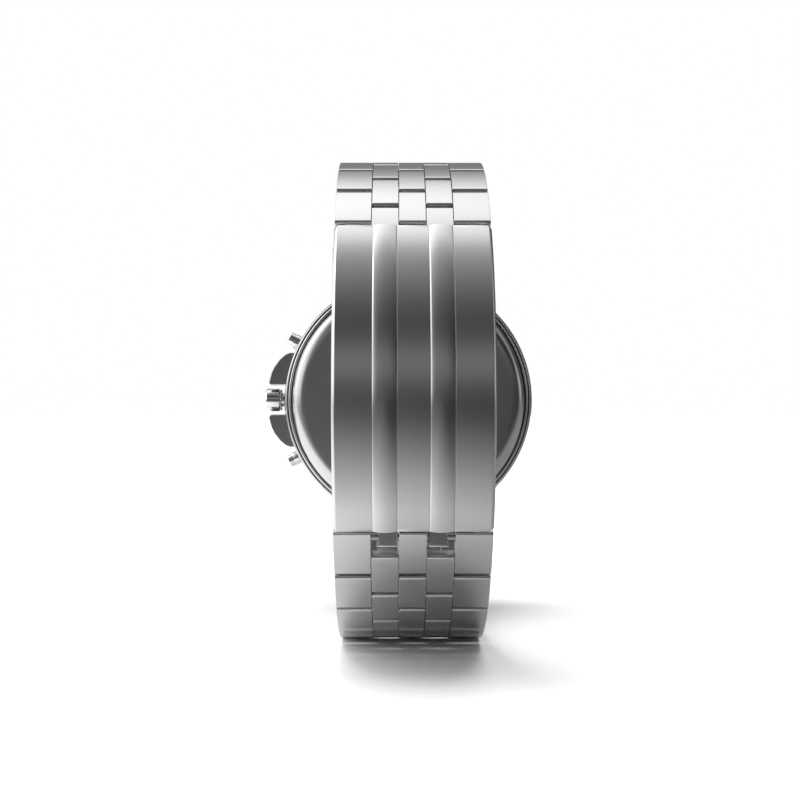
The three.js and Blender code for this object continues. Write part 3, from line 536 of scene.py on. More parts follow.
def wide_row():
    """Two outer links and a centre link on their web, with the pins' holes in both sides."""
    outline = link_outline()
    inner = BAND_HALF - OUTER_W + SIDE_GAP / 2
    centre = INNER_W / 2 - SIDE_GAP / 2
    web = [(PIN_CIRCLE - 1.35, -0.5), (PIN_CIRCLE - 0.45, -0.5), (PIN_CIRCLE - 0.45, 0.5), (PIN_CIRCLE - 1.35, 0.5)]
    plates = [prism(outline, -BAND_HALF, -inner), prism(outline, -centre, centre), prism(outline, inner, BAND_HALF)]
    webs = [prism(web, side * (centre - 0.3), side * (inner + 0.3)) for side in (-1, 1)]
    holes = [round_bar(PIN_R + 0.08, reach, at, dome=0.02, segments=20)
             for at in PIN_PLACES
             for reach in ((BAND_HALF - PIN_RECESS - 0.15, BAND_HALF + 1), (-BAND_HALF - 1, -BAND_HALF + PIN_RECESS + 0.15))]
    return carved("wide_row", shapes_joined(*plates, *webs), SIDE_ROUND, shapes_joined(*holes))


def narrow_row():
    """Two narrow links."""
    outline = link_outline(end_back=0.45)
    near, far = INNER_W / 2 + SIDE_GAP / 2, 1.5 * INNER_W - SIDE_GAP / 2
    return shapes_joined(prism(outline, -far, -near), prism(outline, near, far))


def turned_to(degrees):
    return AT_LOOP @ Matrix.Rotation(math.radians(degrees), 4, "X")


def add_bracelet():
    wide, narrow = wide_row(), narrow_row()
    pins = shapes_joined(*[round_bar(PIN_R, BAND_HALF - PIN_RECESS, at, dome=0.16) for at in PIN_PLACES])
    for side, sign, rows in (("12", 1, ROWS_12), ("6", -1, ROWS_6)):
        for row in range(1, rows + 2):
            narrow_node, wide_node = f"narrow_link_{side}_{row}", f"wide_link_{side}_{row}"
            angle = END_ANGLE - (row - 1) * PITCH
            if narrow_node in BODY_OF:
                place = turned_to(sign * angle)
                piece(f"narrow_links_{side}_{row}", narrow, BODY_OF[narrow_node], "band", [narrow_node],
                      edge=SIDE_ROUND, edge_angle=60, place=place)
                piece(f"link_pins_{side}_{row}", pins, BODY_OF[narrow_node], "pin", place=place)
            if wide_node in BODY_OF:
                piece(f"wide_links_{side}_{row}", wide, BODY_OF[wide_node], "band", [wide_node],
                      place=turned_to(sign * (angle - PITCH / 2)))


# ---------------------------------------------------------------- end links, lugs and case
def refined(name, node, finish, edge, sharp=30):
    """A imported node's own shape with its flat faces made whole and its edges rounded."""
    mesh = frame["nodes"][node].data.copy()
    mesh.materials.clear()
    work = bmesh.new()
    work.from_mesh(mesh)
    bmesh.ops.remove_doubles(work, verts=work.verts, dist=1e-6)
    bmesh.ops.dissolve_limit(work, angle_limit=math.radians(1.5), verts=work.verts, edges=work.edges)
    work.to_mesh(mesh)
    work.free()
    mesh.polygons.foreach_set("use_smooth", [True] * len(mesh.polygons))
    return piece(name, mesh, BODY_OF[node], finish, [node], edge=edge, edge_angle=sharp, place=Matrix.Identity(4))


def add_end_links():
    for side, up in (("12", 1), ("6", -1)):
        refined(f"bracelet_end_link_{side}", f"end_link_{side}", "band", 0.16)
        bar = round_bar(0.75, BAND_HALF + 2.3, (LUG_BAR_Y, LUG_BAR_Z * up), dome=0.2)
        piece(f"lug_bar_{side}", bar, BODY_OF[f"spring_bar_{side}"], "pin", [f"spring_bar_{side}"])


def lug_shape():
    """A lug at the upper right, as a plate with its long edges rounded."""
    outline = [
        (CASE_FRONT_Y + 0.4, CASE_R - 8), (CASE_FRONT_Y + 0.4, LUG_BAR_Z - 0.6), (LUG_BAR_Y - 1.2, LUG_BAR_Z + 1.9),
        (LUG_BAR_Y + 2.2, LUG_BAR_Z + 2.9), (LUG_BAR_Y + 4.2, LUG_BAR_Z + 2.1), (LUG_BAR_Y + 4.4, LUG_BAR_Z + 0.4),
        (LUG_BAR_Y + 2.4, LUG_BAR_Z - 3.4), (CASE_BACK_Y - 1.3, CASE_R - 8)]
    return prism(rounded(outline, 1.6, 6, (1, 2, 3, 4, 5, 6)), BAND_HALF + 0.3, BAND_HALF + 2.9)


def guard_shape():
    """The wing above the crown."""
    tip, slot, depth = CASE_R + 3.1, 2.73, 2.1
    outline = [(CASE_R - 3.5, slot), (tip, slot), (tip - 0.6, 5.1), (tip - 1.2, 6.3), (tip - 2.2, 7.6),
               (tip - 3.3, 8.5), (tip - 4.1, 8.8), (CASE_R - 3.5, 8.8)]
    return slab(rounded(outline, 0.5, 5, (1,)), CROWN_Y - depth, CROWN_Y + depth)


def bead(radius, y, size, steps=6):
    """A half-round bead that stands out backwards from a face at y."""
    return [(radius + size * math.cos(math.pi * i / steps), y + size * math.sin(math.pi * i / steps))
            for i in range(steps + 1)]


def case_profile():
    """The middle case: its back lip with a bead and a groove, its side, its neck and its bore."""
    side_front = CASE_FRONT_Y
    return [
        *rounded([(BORE_R, CASE_BACK_Y), (BORE_R, side_front + 0.6), (CRYSTAL_R - 1.2, side_front + 0.6),
                  (CRYSTAL_R - 1.2, side_front - 1.2), (CRYSTAL_R + 0.2, side_front - 1.2),
                  (CRYSTAL_R + 0.2, NECK_FRONT_Y), (NECK_R, NECK_FRONT_Y), (NECK_R, side_front),
                  (CASE_R - 0.35, side_front), (CASE_R, side_front + 0.35), (CASE_R, side_front + 1.0),
                  (CASE_R - 0.25, side_front + 1.15), (CASE_R - 0.25, side_front + 1.45), (CASE_R, side_front + 1.6),
                  (CASE_R, CASE_BACK_Y - 1.6), (CASE_R - 0.2, CASE_BACK_Y - 0.85)], 0.12, 2),
        *bead(CASE_R - 0.45, CASE_BACK_Y - 0.75, 0.13), (CASE_R - 0.64, CASE_BACK_Y - 0.95),
        *bead(CASE_R - 1.05, CASE_BACK_Y - 0.5, 0.24), (CASE_R - 1.36, CASE_BACK_Y - 0.7),
        (CASE_R - 1.5, CASE_BACK_Y - 0.1),
    ]


def pusher_places():
    """Where each pusher lies: its own line along +X turned about the case's axis."""
    places = {}
    for node in ("pusher_2", "pusher_4"):
        axis = Vector(JOINTS[f"{node}_press"]["axis"])
        angle = math.atan2(axis.z, axis.x) + math.pi
        places[node] = Matrix.Translation((0, CROWN_Y, 0)) @ Matrix.Rotation(-angle, 4, "Y")
    return places


def add_case():
    lug, guard = lug_shape(), guard_shape()
    flips = [Matrix.Diagonal((a, 1, b, 1)) for a in (1, -1) for b in (1, -1)]
    lugs = [moved(lug, flip) for flip in flips]
    bores = [moved(round_bar(0.78, (BORE_R - 2, CASE_R + 2), (0, 0)), place) for place in pusher_places().values()]
    body = carved("middle_case", turned(case_profile(), 256), 0, shapes_joined(*bores))
    piece("middle_case", body, "head", "case", ["case_body"], sharp=28)
    piece("lugs", shapes_joined(*lugs), "head", "band", edge=0.35, edge_angle=50)
    guards = shapes_joined(guard, moved(guard, Matrix.Diagonal((1, 1, -1, 1))))
    piece("crown_guards", guards, "head", "back", edge=0.22, edge_angle=50)
    rim, flat, steepest, steps = CASE_R - 1.65, CASE_R - 4.3, 72, 18
    arc, y = [], BACK_Y
    for i in range(steps):
        arc.append((flat + (rim - flat) * i / steps, y))
        y -= (rim - flat) / steps * math.tan(math.radians(steepest * ((i + 0.5) / steps) ** 1.5))
    arc.append((rim, y))
    back = [(0, BACK_RIM_Y + 0.9), (0, BACK_Y), *arc, (rim, BACK_RIM_Y),
            (BORE_R - 0.3, BACK_RIM_Y), (BORE_R - 0.3, BACK_RIM_Y - 1.5), (BORE_R - 0.9, BACK_RIM_Y - 1.5),
            (BORE_R - 0.9, BACK_RIM_Y + 0.9)]
    piece("screw_back", turned(back, 256), "head", "back", ["caseback"], sharp=30)


# ---------------------------------------------------------------- bezel, crystal and dial
BEZEL_TEETH = 120


def coin_edge(radius, y, angle):
    """Cuts fine teeth into the bezel's side."""
    if radius < BEZEL_R - 0.9 or y > BEZEL_BACK_Y - 1.0:
        return radius
    tooth = abs(math.sin(angle * BEZEL_TEETH / 2))
    return radius - 0.28 * (1 - tooth)


def facing(angle, radius, y):
    """A place on the watch's front, turned clockwise from 12 o'clock: right, up and towards the eye."""
    a = math.radians(angle)
    right, up = Vector((math.cos(a), 0, -math.sin(a))), Vector((math.sin(a), 0, math.cos(a)))
    matrix = Matrix((right, up, Vector((0, -1, 0)))).transposed().to_4x4()
    return Matrix.Translation(up * radius + Vector((0, y, 0))) @ matrix


def flat_block(width, height, thick):
    """A block that stands off a face, drawn as seen from the front."""
    w, h = width / 2, height / 2
    outline = [(-w, -h), (w, -h), (w, h), (-w, h)]
    return lofted([[(x, y, level) for x, y in outline] for level in (-0.15, thick)])


def flat_shape(outline, thick):
    return lofted([[(x, y, level) for x, y in outline] for level in (-0.15, thick)])


def numeral_mesh(text, size, thick):
    """Plain numerals as a mesh in metres, centred and facing the reader."""
    curve = bpy.data.curves.new("numeral_" + text, "FONT")
    curve.body = text
    curve.size = size * MM
    curve.extrude = thick * MM
    curve.align_x, curve.align_y = "CENTER", "CENTER"
    obj = bpy.data.objects.new("numeral_" + text, curve)
    bpy.context.scene.collection.objects.link(obj)
    bpy.context.view_layer.update()
    mesh = bpy.data.meshes.new_from_object(obj.evaluated_get(bpy.context.evaluated_depsgraph_get()))
    bpy.data.objects.remove(obj)
    return mesh


def add_bezel():
    profile = rounded([
        (NECK_R + 0.3, BEZEL_BACK_Y), (BEZEL_R - 0.25, BEZEL_BACK_Y), (BEZEL_R, BEZEL_BACK_Y - 0.25),
        (BEZEL_R, BEZEL_BACK_Y - 0.7), (BEZEL_R - 0.3, BEZEL_BACK_Y - 0.85), (BEZEL_R - 0.3, BEZEL_BACK_Y - 1.0),
        (BEZEL_R, BEZEL_BACK_Y - 1.2), (BEZEL_R, BEZEL_FRONT_Y + 0.9), (BEZEL_R - 0.8, BEZEL_FRONT_Y),
        (insert_high.x + 0.1, BEZEL_FRONT_Y), (insert_high.x + 0.1, BEZEL_FRONT_Y + 0.4),
        (CRYSTAL_R + 0.5, BEZEL_FRONT_Y + 0.4), (CRYSTAL_R + 0.5, NECK_FRONT_Y - 0.25), (NECK_R + 0.3, NECK_FRONT_Y - 0.25)],
        0.14, 2)
    piece("turning_bezel", turned(profile, BEZEL_TEETH * 6, coin_edge), "bezel", "polished", ["bezel"], sharp=40)
    inner, outer, face = CRYSTAL_R + 1.0, insert_high.x, insert_low.y
    ring = rounded([(inner, face + 0.35), (inner, face + 0.06), (outer, face + 0.06), (outer, face + 0.35)], 0.06, 2)
    piece("insert_ring", turned(ring, 192), "bezel", "insert", ["bezel_insert"], sharp=40)
    middle = (inner + outer) / 2
    marks = []
    for minute in range(60):
        if minute == 0:
            continue
        length, width = (1.5, 0.42) if minute % 5 == 0 else (0.8, 0.18)
        if minute % 10 == 0:
            length = 0.6
        marks.append(moved(flat_block(width, length, 0.0), facing(6 * minute, outer - 0.25 - length / 2, face + 0.02)))
    triangle = rounded([(-1.5, 1.5), (0, -1.2), (1.5, 1.5)], 0.2, 3)
    marks.append(moved(flat_shape(triangle, 0.0), facing(0, middle, face + 0.02)))
    piece("insert_marks", shapes_joined(*marks), "bezel", "lume", sharp=30)
    for number in (10, 20, 30, 40, 50):
        mesh = numeral_mesh(str(number), 2.3, 0.04)
        mesh.transform(AT_LOOP.inverted() @ AT_LOOP @ metres(facing(6 * number, middle - 0.35, face + 0.03)))
        piece(f"insert_numeral_{number}", mesh, "bezel", "lume", sharp=30)


def metres(matrix):
    """A place drawn in millimetres, for a mesh that is in metres."""
    scaled = matrix.copy()
    scaled.translation = matrix.translation * MM
    return scaled


def add_crystal():
    back, front, radius = crystal_high.y, crystal_low.y, CRYSTAL_R
    dome = [(radius * i / 12, front + 0.35 * (i / 12) ** 2) for i in range(12)]
    profile = [(0, back), *dome, (radius - 0.35, front + 0.35), (radius, front + 0.7), (radius, back)]
    piece("sapphire_crystal", turned(profile, 160), "head", "crystal", ["crystal"], sharp=30)


DISPLAY_Z = -9.0
DISPLAY_W, DISPLAY_H = 8.8, 2.8
SEGMENTS = {"0": "abcdef", "1": "bc", "2": "abged", "3": "abgcd", "5": "afgcd", "8": "abcdefg"}


def digit_blocks(digit, x, z, width=1.15, height=2.1, thick=0.24):
    """The lit bars of one seven-bar digit."""
    half_w, half_h = width / 2, height / 2
    places = {"a": (0, half_h, 1), "g": (0, 0, 1), "d": (0, -half_h, 1), "f": (-half_w, half_h / 2, 0),
              "b": (half_w, half_h / 2, 0), "e": (-half_w, -half_h / 2, 0), "c": (half_w, -half_h / 2, 0)}
    blocks = []
    for bar in SEGMENTS[digit]:
        bar_x, bar_z, lying = places[bar]
        size = (width - thick, thick) if lying else (thick, half_h - thick)
        w, h = size[0] / 2, size[1] / 2
        outline = [(x + bar_x - w, z + bar_z - h), (x + bar_x + w, z + bar_z - h),
                   (x + bar_x + w, z + bar_z + h), (x + bar_x - w, z + bar_z + h)]
        blocks.append(outline)
    return blocks


def add_dial():
    low, high = DIAL_Y, dial_high.y
    window = [(-DISPLAY_W / 2, DISPLAY_Z - DISPLAY_H / 2), (DISPLAY_W / 2, DISPLAY_Z - DISPLAY_H / 2),
              (DISPLAY_W / 2, DISPLAY_Z + DISPLAY_H / 2), (-DISPLAY_W / 2, DISPLAY_Z + DISPLAY_H / 2)]
    disc = turned([(0, high), (0, low), (DIAL_R - 0.1, low), (DIAL_R, low + 0.1), (DIAL_R, high)], 128)
    post = turned([(0, high + 1), (0, low - 1), (1.5, low - 1), (1.5, high + 1)], 32)
    cut = shapes_joined(slab(rounded(window, 0.4, 4), low - 1, high + 1), post)
    piece("dial_plate", carved("dial_plate", disc, 0.02, cut), "head", "dial", ["dial"])
    frame_out = rounded([(x * 1.09, DISPLAY_Z + (z - DISPLAY_Z) * 1.24) for x, z in window], 0.5, 4)
    frame_in = rounded(window, 0.4, 4)
    rings = [[(x, y, z) for x, z in outline] for outline, y in
             ((frame_out, low), (frame_out, low - 0.14), (frame_in, low - 0.14), (frame_in, low))]
    piece("display_frame", lofted(rings, closed=True), "head", "polished", edge=0.04, edge_angle=50)
    marks = []
    view_r = CRYSTAL_R - 1.35
    for hour in range(12):
        if hour == 6:
            continue
        width, length = (1.5, 2.6) if hour in (0, 3, 9) else (0.9, 2.2)
        marks.append((hour, width, length))
    bars = [moved(flat_block(width, length, 0.22), facing(30 * hour, view_r - 1.3 - length / 2, low))
            for hour, width, length in marks]
    paint = [moved(flat_block(width - 0.36, length - 0.36, 0.26), facing(30 * hour, view_r - 1.3 - length / 2, low))
             for hour, width, length in marks]
    piece("hour_marks", shapes_joined(*bars), "head", "polished", edge=0.06, edge_angle=50)
    piece("hour_mark_paint", shapes_joined(*paint), "head", "lume", edge=0.03, edge_angle=50)
    track = [moved(flat_block(0.14, 0.7, 0.03), facing(6 * minute, view_r - 0.5, low)) for minute in range(60)]
    piece("minute_track", shapes_joined(*track), "head", "lume")
    glass_y = extent("display_panel")[0].y
    digits = [outline for digit, x in (("1", -3.1), ("0", -1.5), ("2", 1.1), ("8", 2.8))
              for outline in digit_blocks(digit, x, DISPLAY_Z)]
    dots = [[(x - 0.14, z - 0.14), (x + 0.14, z - 0.14), (x + 0.14, z + 0.14), (x - 0.14, z + 0.14)]
            for x, z in ((-0.25, DISPLAY_Z + 0.5), (-0.25, DISPLAY_Z - 0.5))]
    piece("display_digits", shapes_joined(*[slab(o, glass_y - 0.03, glass_y + 0.02) for o in (*digits, *dots)]),
          "head", "digit")


def hand_shape(half, tail, length, tip, hub_r, bore, levels):
    """A hand: its blade and tail, a hub with a bore, and the tube below it."""
    front, back, foot = levels
    start = hub_r - 0.25
    blade = [(-half, start), (half, start), (1.4 * half, 0.7 * length), (tip, length), (-tip, length),
             (-1.4 * half, 0.7 * length)]
    rear = [(-half, -tail), (half, -tail), (half, -start), (-half, -start)]
    hub = [(bore, back), (bore, front - 0.02), (hub_r - 0.1, front - 0.02), (hub_r, front + 0.08), (hub_r, back)]
    tube = [(bore, foot), (bore, back + 0.02), (bore + 0.2, back + 0.02), (bore + 0.2, foot)]
    return shapes_joined(slab(rounded(blade, 0.08, 2), front, back), slab(rounded(rear, 0.08, 2), front, back),
                         turned(hub, 48), turned(tube, 32))


def add_hands():
    reach = CRYSTAL_R - 1.2
    sizes = (("hour_hand", 0.9, 2.5, reach - 6.2, 0.15, 2.1, 1.0), ("minute_hand", 0.7, 3, reach - 1.2, 0.12, 1.6, 0.6),
             ("seconds_hand", 0.25, 5, reach - 0.8, 0.1, 1.0, 0.0))
    for node, half, tail, length, tip, hub_r, bore in sizes:
        low, high = extent(node)
        front = low.y
        shape = hand_shape(half, tail, length, tip, hub_r, bore, (front, front + 0.25, high.y))
        piece(node + "_blade", shape, BODY_OF[node], "polished", [node], edge=0.05, edge_angle=50)
        if node != "seconds_hand":
            paint = [(-half * 0.55, hub_r + 0.5), (half * 0.55, hub_r + 0.5), (0.9 * half, 0.69 * length),
                     (0.05, 0.93 * length), (-0.05, 0.93 * length), (-0.9 * half, 0.69 * length)]
        else:
            paint = [(0.42 * math.cos(a), 0.72 * length + 0.42 * math.sin(a))
                     for a in (math.pi * i / 10 for i in range(20))]
        piece(node + "_paint", slab(paint, front - 0.04, front + 0.05), BODY_OF[node], "lume", edge=0.02,
              edge_angle=50)


# ---------------------------------------------------------------- crown and pushers
def fluted(radius, x, angle):
    """Grips round the crown's inner end."""
    if radius < CROWN_R - 0.4 or x > crown_high.x - 2.7:
        return radius
    return radius - 0.18 * (0.5 + 0.5 * math.cos(angle * 16)) ** 2


def add_controls():
    inside, outside = crown_high.x - 3.0, crown_high.x
    profile = rounded([
        (0, CASE_R + 0.3), (0.85, CASE_R + 0.3), (0.85, inside - 0.35), (1.25, inside - 0.35), (1.25, inside - 0.1),
        (CROWN_R - 0.35, inside), (CROWN_R - 0.15, inside + 0.15), (CROWN_R - 0.15, outside - 2.72),
        (CROWN_R - 0.4, outside - 2.7), (CROWN_R - 0.4, outside - 2.62), (CROWN_R, outside - 2.58), (CROWN_R, outside - 0.28), 
        (CROWN_R - 0.2, outside - 0.08), (CROWN_R - 0.7, outside), (0, outside)], 0.1, 3, tuple(range(5, 14)))
    piece("fluted_crown", turned_across(profile, (CROWN_Y, 0), 240, fluted), BODY_OF["crown"], "polished",
          ["crown"], sharp=35)
    for node, place in pusher_places().items():
        end = CASE_R + 2.1
        cap = rounded([(0, end - 1.12), (1.2, end - 1.12), (1.2, end), (0, end)], 0.16, 4, (2,))
        stem = [(0, BORE_R), (0.7, BORE_R), (0.7, end - 1.1), (0, end - 1.1)]
        tube = rounded([(1.22, CASE_R - 0.4), (1.33, CASE_R - 0.4), (1.33, end - 1.05), (1.22, end - 1.05)], 0.03, 2,
                       (2, 3))
        button = shapes_joined(turned_across(cap, (0, 0), 64), turned_across(stem, (0, 0), 24))
        piece(f"{node}_button", moved(button, place), BODY_OF[node], "polished", [node], sharp=30)
        piece(f"{node}_tube", moved(turned_across(tube, (0, 0), 64), place), "head", "polished", sharp=30)


# ---------------------------------------------------------------- folding clasp
def cover_section(inset=0.0):
    """The cover's section (x, radius): side walls, chamfers, flat bands and two half-round ridges."""
    half = COVER_HALF - inset
    wall_foot = END_OUT + 0.3
    ridge_r = (RIDGE_HALF ** 2 + RIDGE_H ** 2) / (2 * RIDGE_H)
    swing = math.asin(RIDGE_HALF / ridge_r)

    def ridge(centre):
        arc = [(centre + ridge_r * math.sin(swing * (1 - 2 * i / 16)),
                COVER_R + RIDGE_H - ridge_r + ridge_r * math.cos(swing * (1 - 2 * i / 16))) for i in range(17)]
        groove = RIDGE_GROOVE
        return [(arc[0][0] + 0.1, COVER_R), (arc[0][0] + 0.03, COVER_R - groove), *arc,
                (arc[-1][0] - 0.03, COVER_R - groove), (arc[-1][0] - 0.1, COVER_R)]

    outside = [(half, wall_foot), (half, COVER_R - CHAMFER - 0.06), (half - 0.02, COVER_R - CHAMFER),
               (half - CHAMFER, COVER_R - 0.02), (half - CHAMFER - 0.06, COVER_R)]
    mirrored = [(-x, r) for x, r in outside[::-1]]
    inside = [(-half + COVER_WALL, wall_foot), (-half + COVER_WALL, COVER_UNDER),
              (half - COVER_WALL, COVER_UNDER), (half - COVER_WALL, wall_foot)]
    return [*outside, *ridge(INNER_W), *ridge(-INNER_W), *mirrored, *inside]


def cover_shape():
    """The section swept along the arc, drawn in at both ends so that the corners are round."""
    corner = 0.4
    corner_angle = math.degrees(corner / COVER_R)
    ends = [corner_angle * (1 - math.cos(math.pi / 2 * i / 6)) for i in range(6)]
    middle = [corner_angle + (2 * COVER_ARC - 2 * corner_angle) * i / 72 for i in range(73)]
    stations = [*ends, *middle, *[2 * COVER_ARC - e for e in ends[::-1]]]
    rings = []
    for station in stations:
        from_end = min(station, 2 * COVER_ARC - station)
        part = max(0.0, 1 - from_end / corner_angle)
        section = cover_section(corner * (1 - math.sqrt(max(0.0, 1 - part * part))) * 0.8)
        angle = -COVER_ARC + station
        rings.append([(x, *polar(radius, angle)) for x, radius in section])
    return lofted(rings)


def add_fork_ends(near, flare):
    """The upright plates at the arms' ends, which open outwards and sit on the spring bar."""
    bar_y, bar_z = polar(PIN_CIRCLE, -(COVER_LOW + PITCH / 4))
    top, foot, steps = bar_z + 2.3, bar_z - 1.35, 10
    plates = []
    for side in (-1, 1):
        rings = []
        for step in range(steps + 1):
            part = step / steps
            outer = near + 2.3 + (flare + 0.1) * part ** 1.5
            rings.append([(side * near, bar_y - 1.0, top + part * (foot - top)),
                          (side * outer, bar_y - 1.0, top + part * (foot - top)),
                          (side * outer, bar_y + 0.8, top + part * (foot - top)),
                          (side * near, bar_y + 0.8, top + part * (foot - top))])
        plates.append(lofted(rings))
    holes = [round_bar(PIN_R + 0.05, reach, (bar_y, bar_z), dome=0.02)
             for reach in ((near - 0.5, near + 4), (-near - 4, -near + 0.5))]
    piece("fork_ends", carved("fork_ends", shapes_joined(*plates), 0.18, shapes_joined(*holes)), "clasp_end_blade",
          "blade")


def add_clasp():
    ears = [turned_across([(0, from_x), (1.3, from_x), (1.3, to_x), (0, to_x)], COVER_PIN, 40)
            for from_x, to_x in ((-COVER_HALF + 0.02, -COVER_HALF + COVER_WALL), (COVER_HALF - COVER_WALL, COVER_HALF - 0.02))]
    piece("cover_plate", cover_shape(), "clasp_cover", "cover", ["clasp_cover"], edge=0.12, edge_angle=62,
          place=AT_CLASP)
    piece("cover_ears", shapes_joined(*ears), "clasp_cover", "cover", edge=0.12, edge_angle=50, place=AT_CLASP)
    piece("cover_hinge_pin", round_bar(PIN_R, COVER_HALF + 0.06, HINGE_6, dome=0.18), "clasp_cover", "pin",
          ["clasp_hinge_pin_6"], place=AT_CLASP)
    piece("blade_hinge_pin", round_bar(PIN_R, BLADE_HALF - 0.1, HINGE_12, dome=0.18), "clasp_middle_blade", "pin",
          ["clasp_hinge_pin_12"], place=AT_CLASP)
    angle_6 = math.degrees(math.atan2(HINGE_6[1], HINGE_6[0]))
    angle_12 = math.degrees(math.atan2(HINGE_12[1], HINGE_12[0]))
    mid = KNUCKLE_MID + 0.2
    sheet = [strip(MIDDLE_IN, MIDDLE_OUT, angle_6, angle_12 - 4, -BLADE_HALF, BLADE_HALF),
             *[strip(MIDDLE_IN, MIDDLE_OUT, angle_12 - 4, angle_12, low, high, 4)
               for low, high in ((-BLADE_HALF, -mid), (mid, BLADE_HALF))]]

    def barrel(at, low, high):
        return turned_across(rounded([(0, low), (KNUCKLE_R, low), (KNUCKLE_R, high), (0, high)], 0.1, 3, (1, 2)), at, 40)

    middle = [barrel(HINGE_6, -BLADE_HALF, BLADE_HALF), barrel(HINGE_12, -BLADE_HALF, -mid), barrel(HINGE_12, mid, BLADE_HALF)]
    piece("middle_blade", shapes_joined(*sheet, *middle), "clasp_middle_blade", "blade", ["clasp_middle_blade"],
          edge=0.14, edge_angle=50, place=AT_CLASP)
    foot = -(COVER_ARC - 3)
    near = INNER_W / 2 + 0.2
    flare = 0.45

    def outer_edge(side):
        return lambda part: side * (near + 2.3 + flare * (1 - part) ** 1.5)

    arms = [strip(END_IN, END_OUT, FORK_ANGLE, foot + 1, side * near if side > 0 else outer_edge(side),
                  outer_edge(side) if side > 0 else side * near, 16) for side in (-1, 1)]
    end = [strip(END_IN, END_OUT, foot, angle_12 - 3, -BLADE_HALF, BLADE_HALF),
           strip(END_IN, END_OUT, angle_12 - 4, angle_12, -KNUCKLE_MID, KNUCKLE_MID, 4), *arms,
           
           barrel(HINGE_12, -KNUCKLE_MID, KNUCKLE_MID)]
    piece("end_blade", shapes_joined(*end), "clasp_end_blade", "blade", ["clasp_end_blade"], edge=0.2,
          edge_angle=50, place=AT_CLASP)
    add_fork_ends(near, flare)
    bar = round_bar(PIN_R, BAND_HALF - PIN_RECESS, PIN_PLACES[0], dome=0.16)
    piece("fork_spring_bar", bar, BODY_OF["clasp_spring_bar"], "pin", ["clasp_spring_bar"],
          place=turned_to(-(COVER_LOW + PITCH / 2)))


# ---------------------------------------------------------------- stage, light and camera
FLOOR_HALF = 3.0
PAINTED_REFLECTION_EDGE = 0.0255                   # painted reflection: in glossy rays only, the floor's colour darkens beyond this y place
# painted reflection: how fast the floor's colour in glossy rays falls off, its colour near the watch and its colour far
# off
PAINTED_REFLECTION_FALL, PAINTED_REFLECTION_NEAR, PAINTED_REFLECTION_FAR = 0.0155, 0.68, 0.07


def add_floor():
    size = FLOOR_HALF
    mesh = bpy.data.meshes.new("floor")
    mesh.from_pydata([(-size, -size, 0), (size, -size, 0), (size, size, 0), (-size, size, 0)], [], [[0, 1, 2, 3]])
    floor = bpy.data.objects.new("floor", mesh)
    bpy.context.scene.collection.objects.link(floor)
    material, tree, surface = node_tree("floor_white_with_painted_reflection")
    surface.inputs["Roughness"].default_value = 0.9
    surface.inputs["Specular IOR Level"].default_value = 0.1
    # Painted reflection: glossy rays see the floor's colour darkened with distance in y and on one side; camera and
    # diffuse rays see plain white
    geometry = add(tree, "ShaderNodeNewGeometry")
    parts = add(tree, "ShaderNodeSeparateXYZ")
    tree.links.new(geometry.outputs["Position"], parts.inputs[0])
    ahead = add(tree, "ShaderNodeMath", operation="SUBTRACT")
    ahead.inputs[1].default_value = PAINTED_REFLECTION_EDGE
    tree.links.new(parts.outputs["Y"], ahead.inputs[0])
    at_least = add(tree, "ShaderNodeMath", operation="MAXIMUM")
    at_least.inputs[1].default_value = PAINTED_REFLECTION_FALL
    tree.links.new(ahead.outputs[0], at_least.inputs[0])
    fall = add(tree, "ShaderNodeMath", operation="DIVIDE")
    fall.inputs[0].default_value = PAINTED_REFLECTION_FALL
    tree.links.new(at_least.outputs[0], fall.inputs[1])
    limit = add(tree, "ShaderNodeClamp")
    limit.inputs["Min"].default_value = PAINTED_REFLECTION_FAR
    limit.inputs["Max"].default_value = PAINTED_REFLECTION_NEAR
    tree.links.new(fall.outputs[0], limit.inputs["Value"])
    path = add(tree, "ShaderNodeLightPath")
    mix = add(tree, "ShaderNodeMix", data_type="RGBA")
    mix.inputs["A"].default_value = (0.9, 0.9, 0.9, 1)
    # Painted shade in the floor's reflections: darker towards -X, lighter towards +X
    painted_shade_side = add(tree, "ShaderNodeMapRange", interpolation_type="SMOOTHSTEP")
    painted_shade_side.inputs["From Min"].default_value = 0.045
    painted_shade_side.inputs["From Max"].default_value = -0.06
    painted_shade_side.inputs["To Min"].default_value = 1.35
    painted_shade_side.inputs["To Max"].default_value = 0.35
    tree.links.new(parts.outputs["X"], painted_shade_side.inputs["Value"])
    painted_reflection_tone = add(tree, "ShaderNodeMath", operation="MULTIPLY")
    tree.links.new(limit.outputs[0], painted_reflection_tone.inputs[0])
    tree.links.new(painted_shade_side.outputs["Result"], painted_reflection_tone.inputs[1])
    tree.links.new(painted_reflection_tone.outputs[0], mix.inputs["B"])
    tree.links.new(path.outputs["Is Glossy Ray"], mix.inputs["Factor"])
    tree.links.new(mix.outputs["Result"], surface.inputs["Base Color"])
    distance = add(tree, "ShaderNodeVectorMath", operation="LENGTH")
    tree.links.new(geometry.outputs["Position"], distance.inputs[0])
    far = add(tree, "ShaderNodeMapRange", interpolation_type="SMOOTHSTEP")
    far.inputs["From Min"].default_value = 0.15
    far.inputs["From Max"].default_value = 0.6
    tree.links.new(distance.outputs["Value"], far.inputs["Value"])
    backdrop = add(tree, "ShaderNodeMath", operation="MULTIPLY")
    tree.links.new(far.outputs["Result"], backdrop.inputs[0])
    tree.links.new(path.outputs["Is Camera Ray"], backdrop.inputs[1])
    surface.inputs["Emission Color"].default_value = (1, 1, 1, 1)
    tree.links.new(backdrop.outputs[0], surface.inputs["Emission Strength"])
    mesh.materials.append(material)


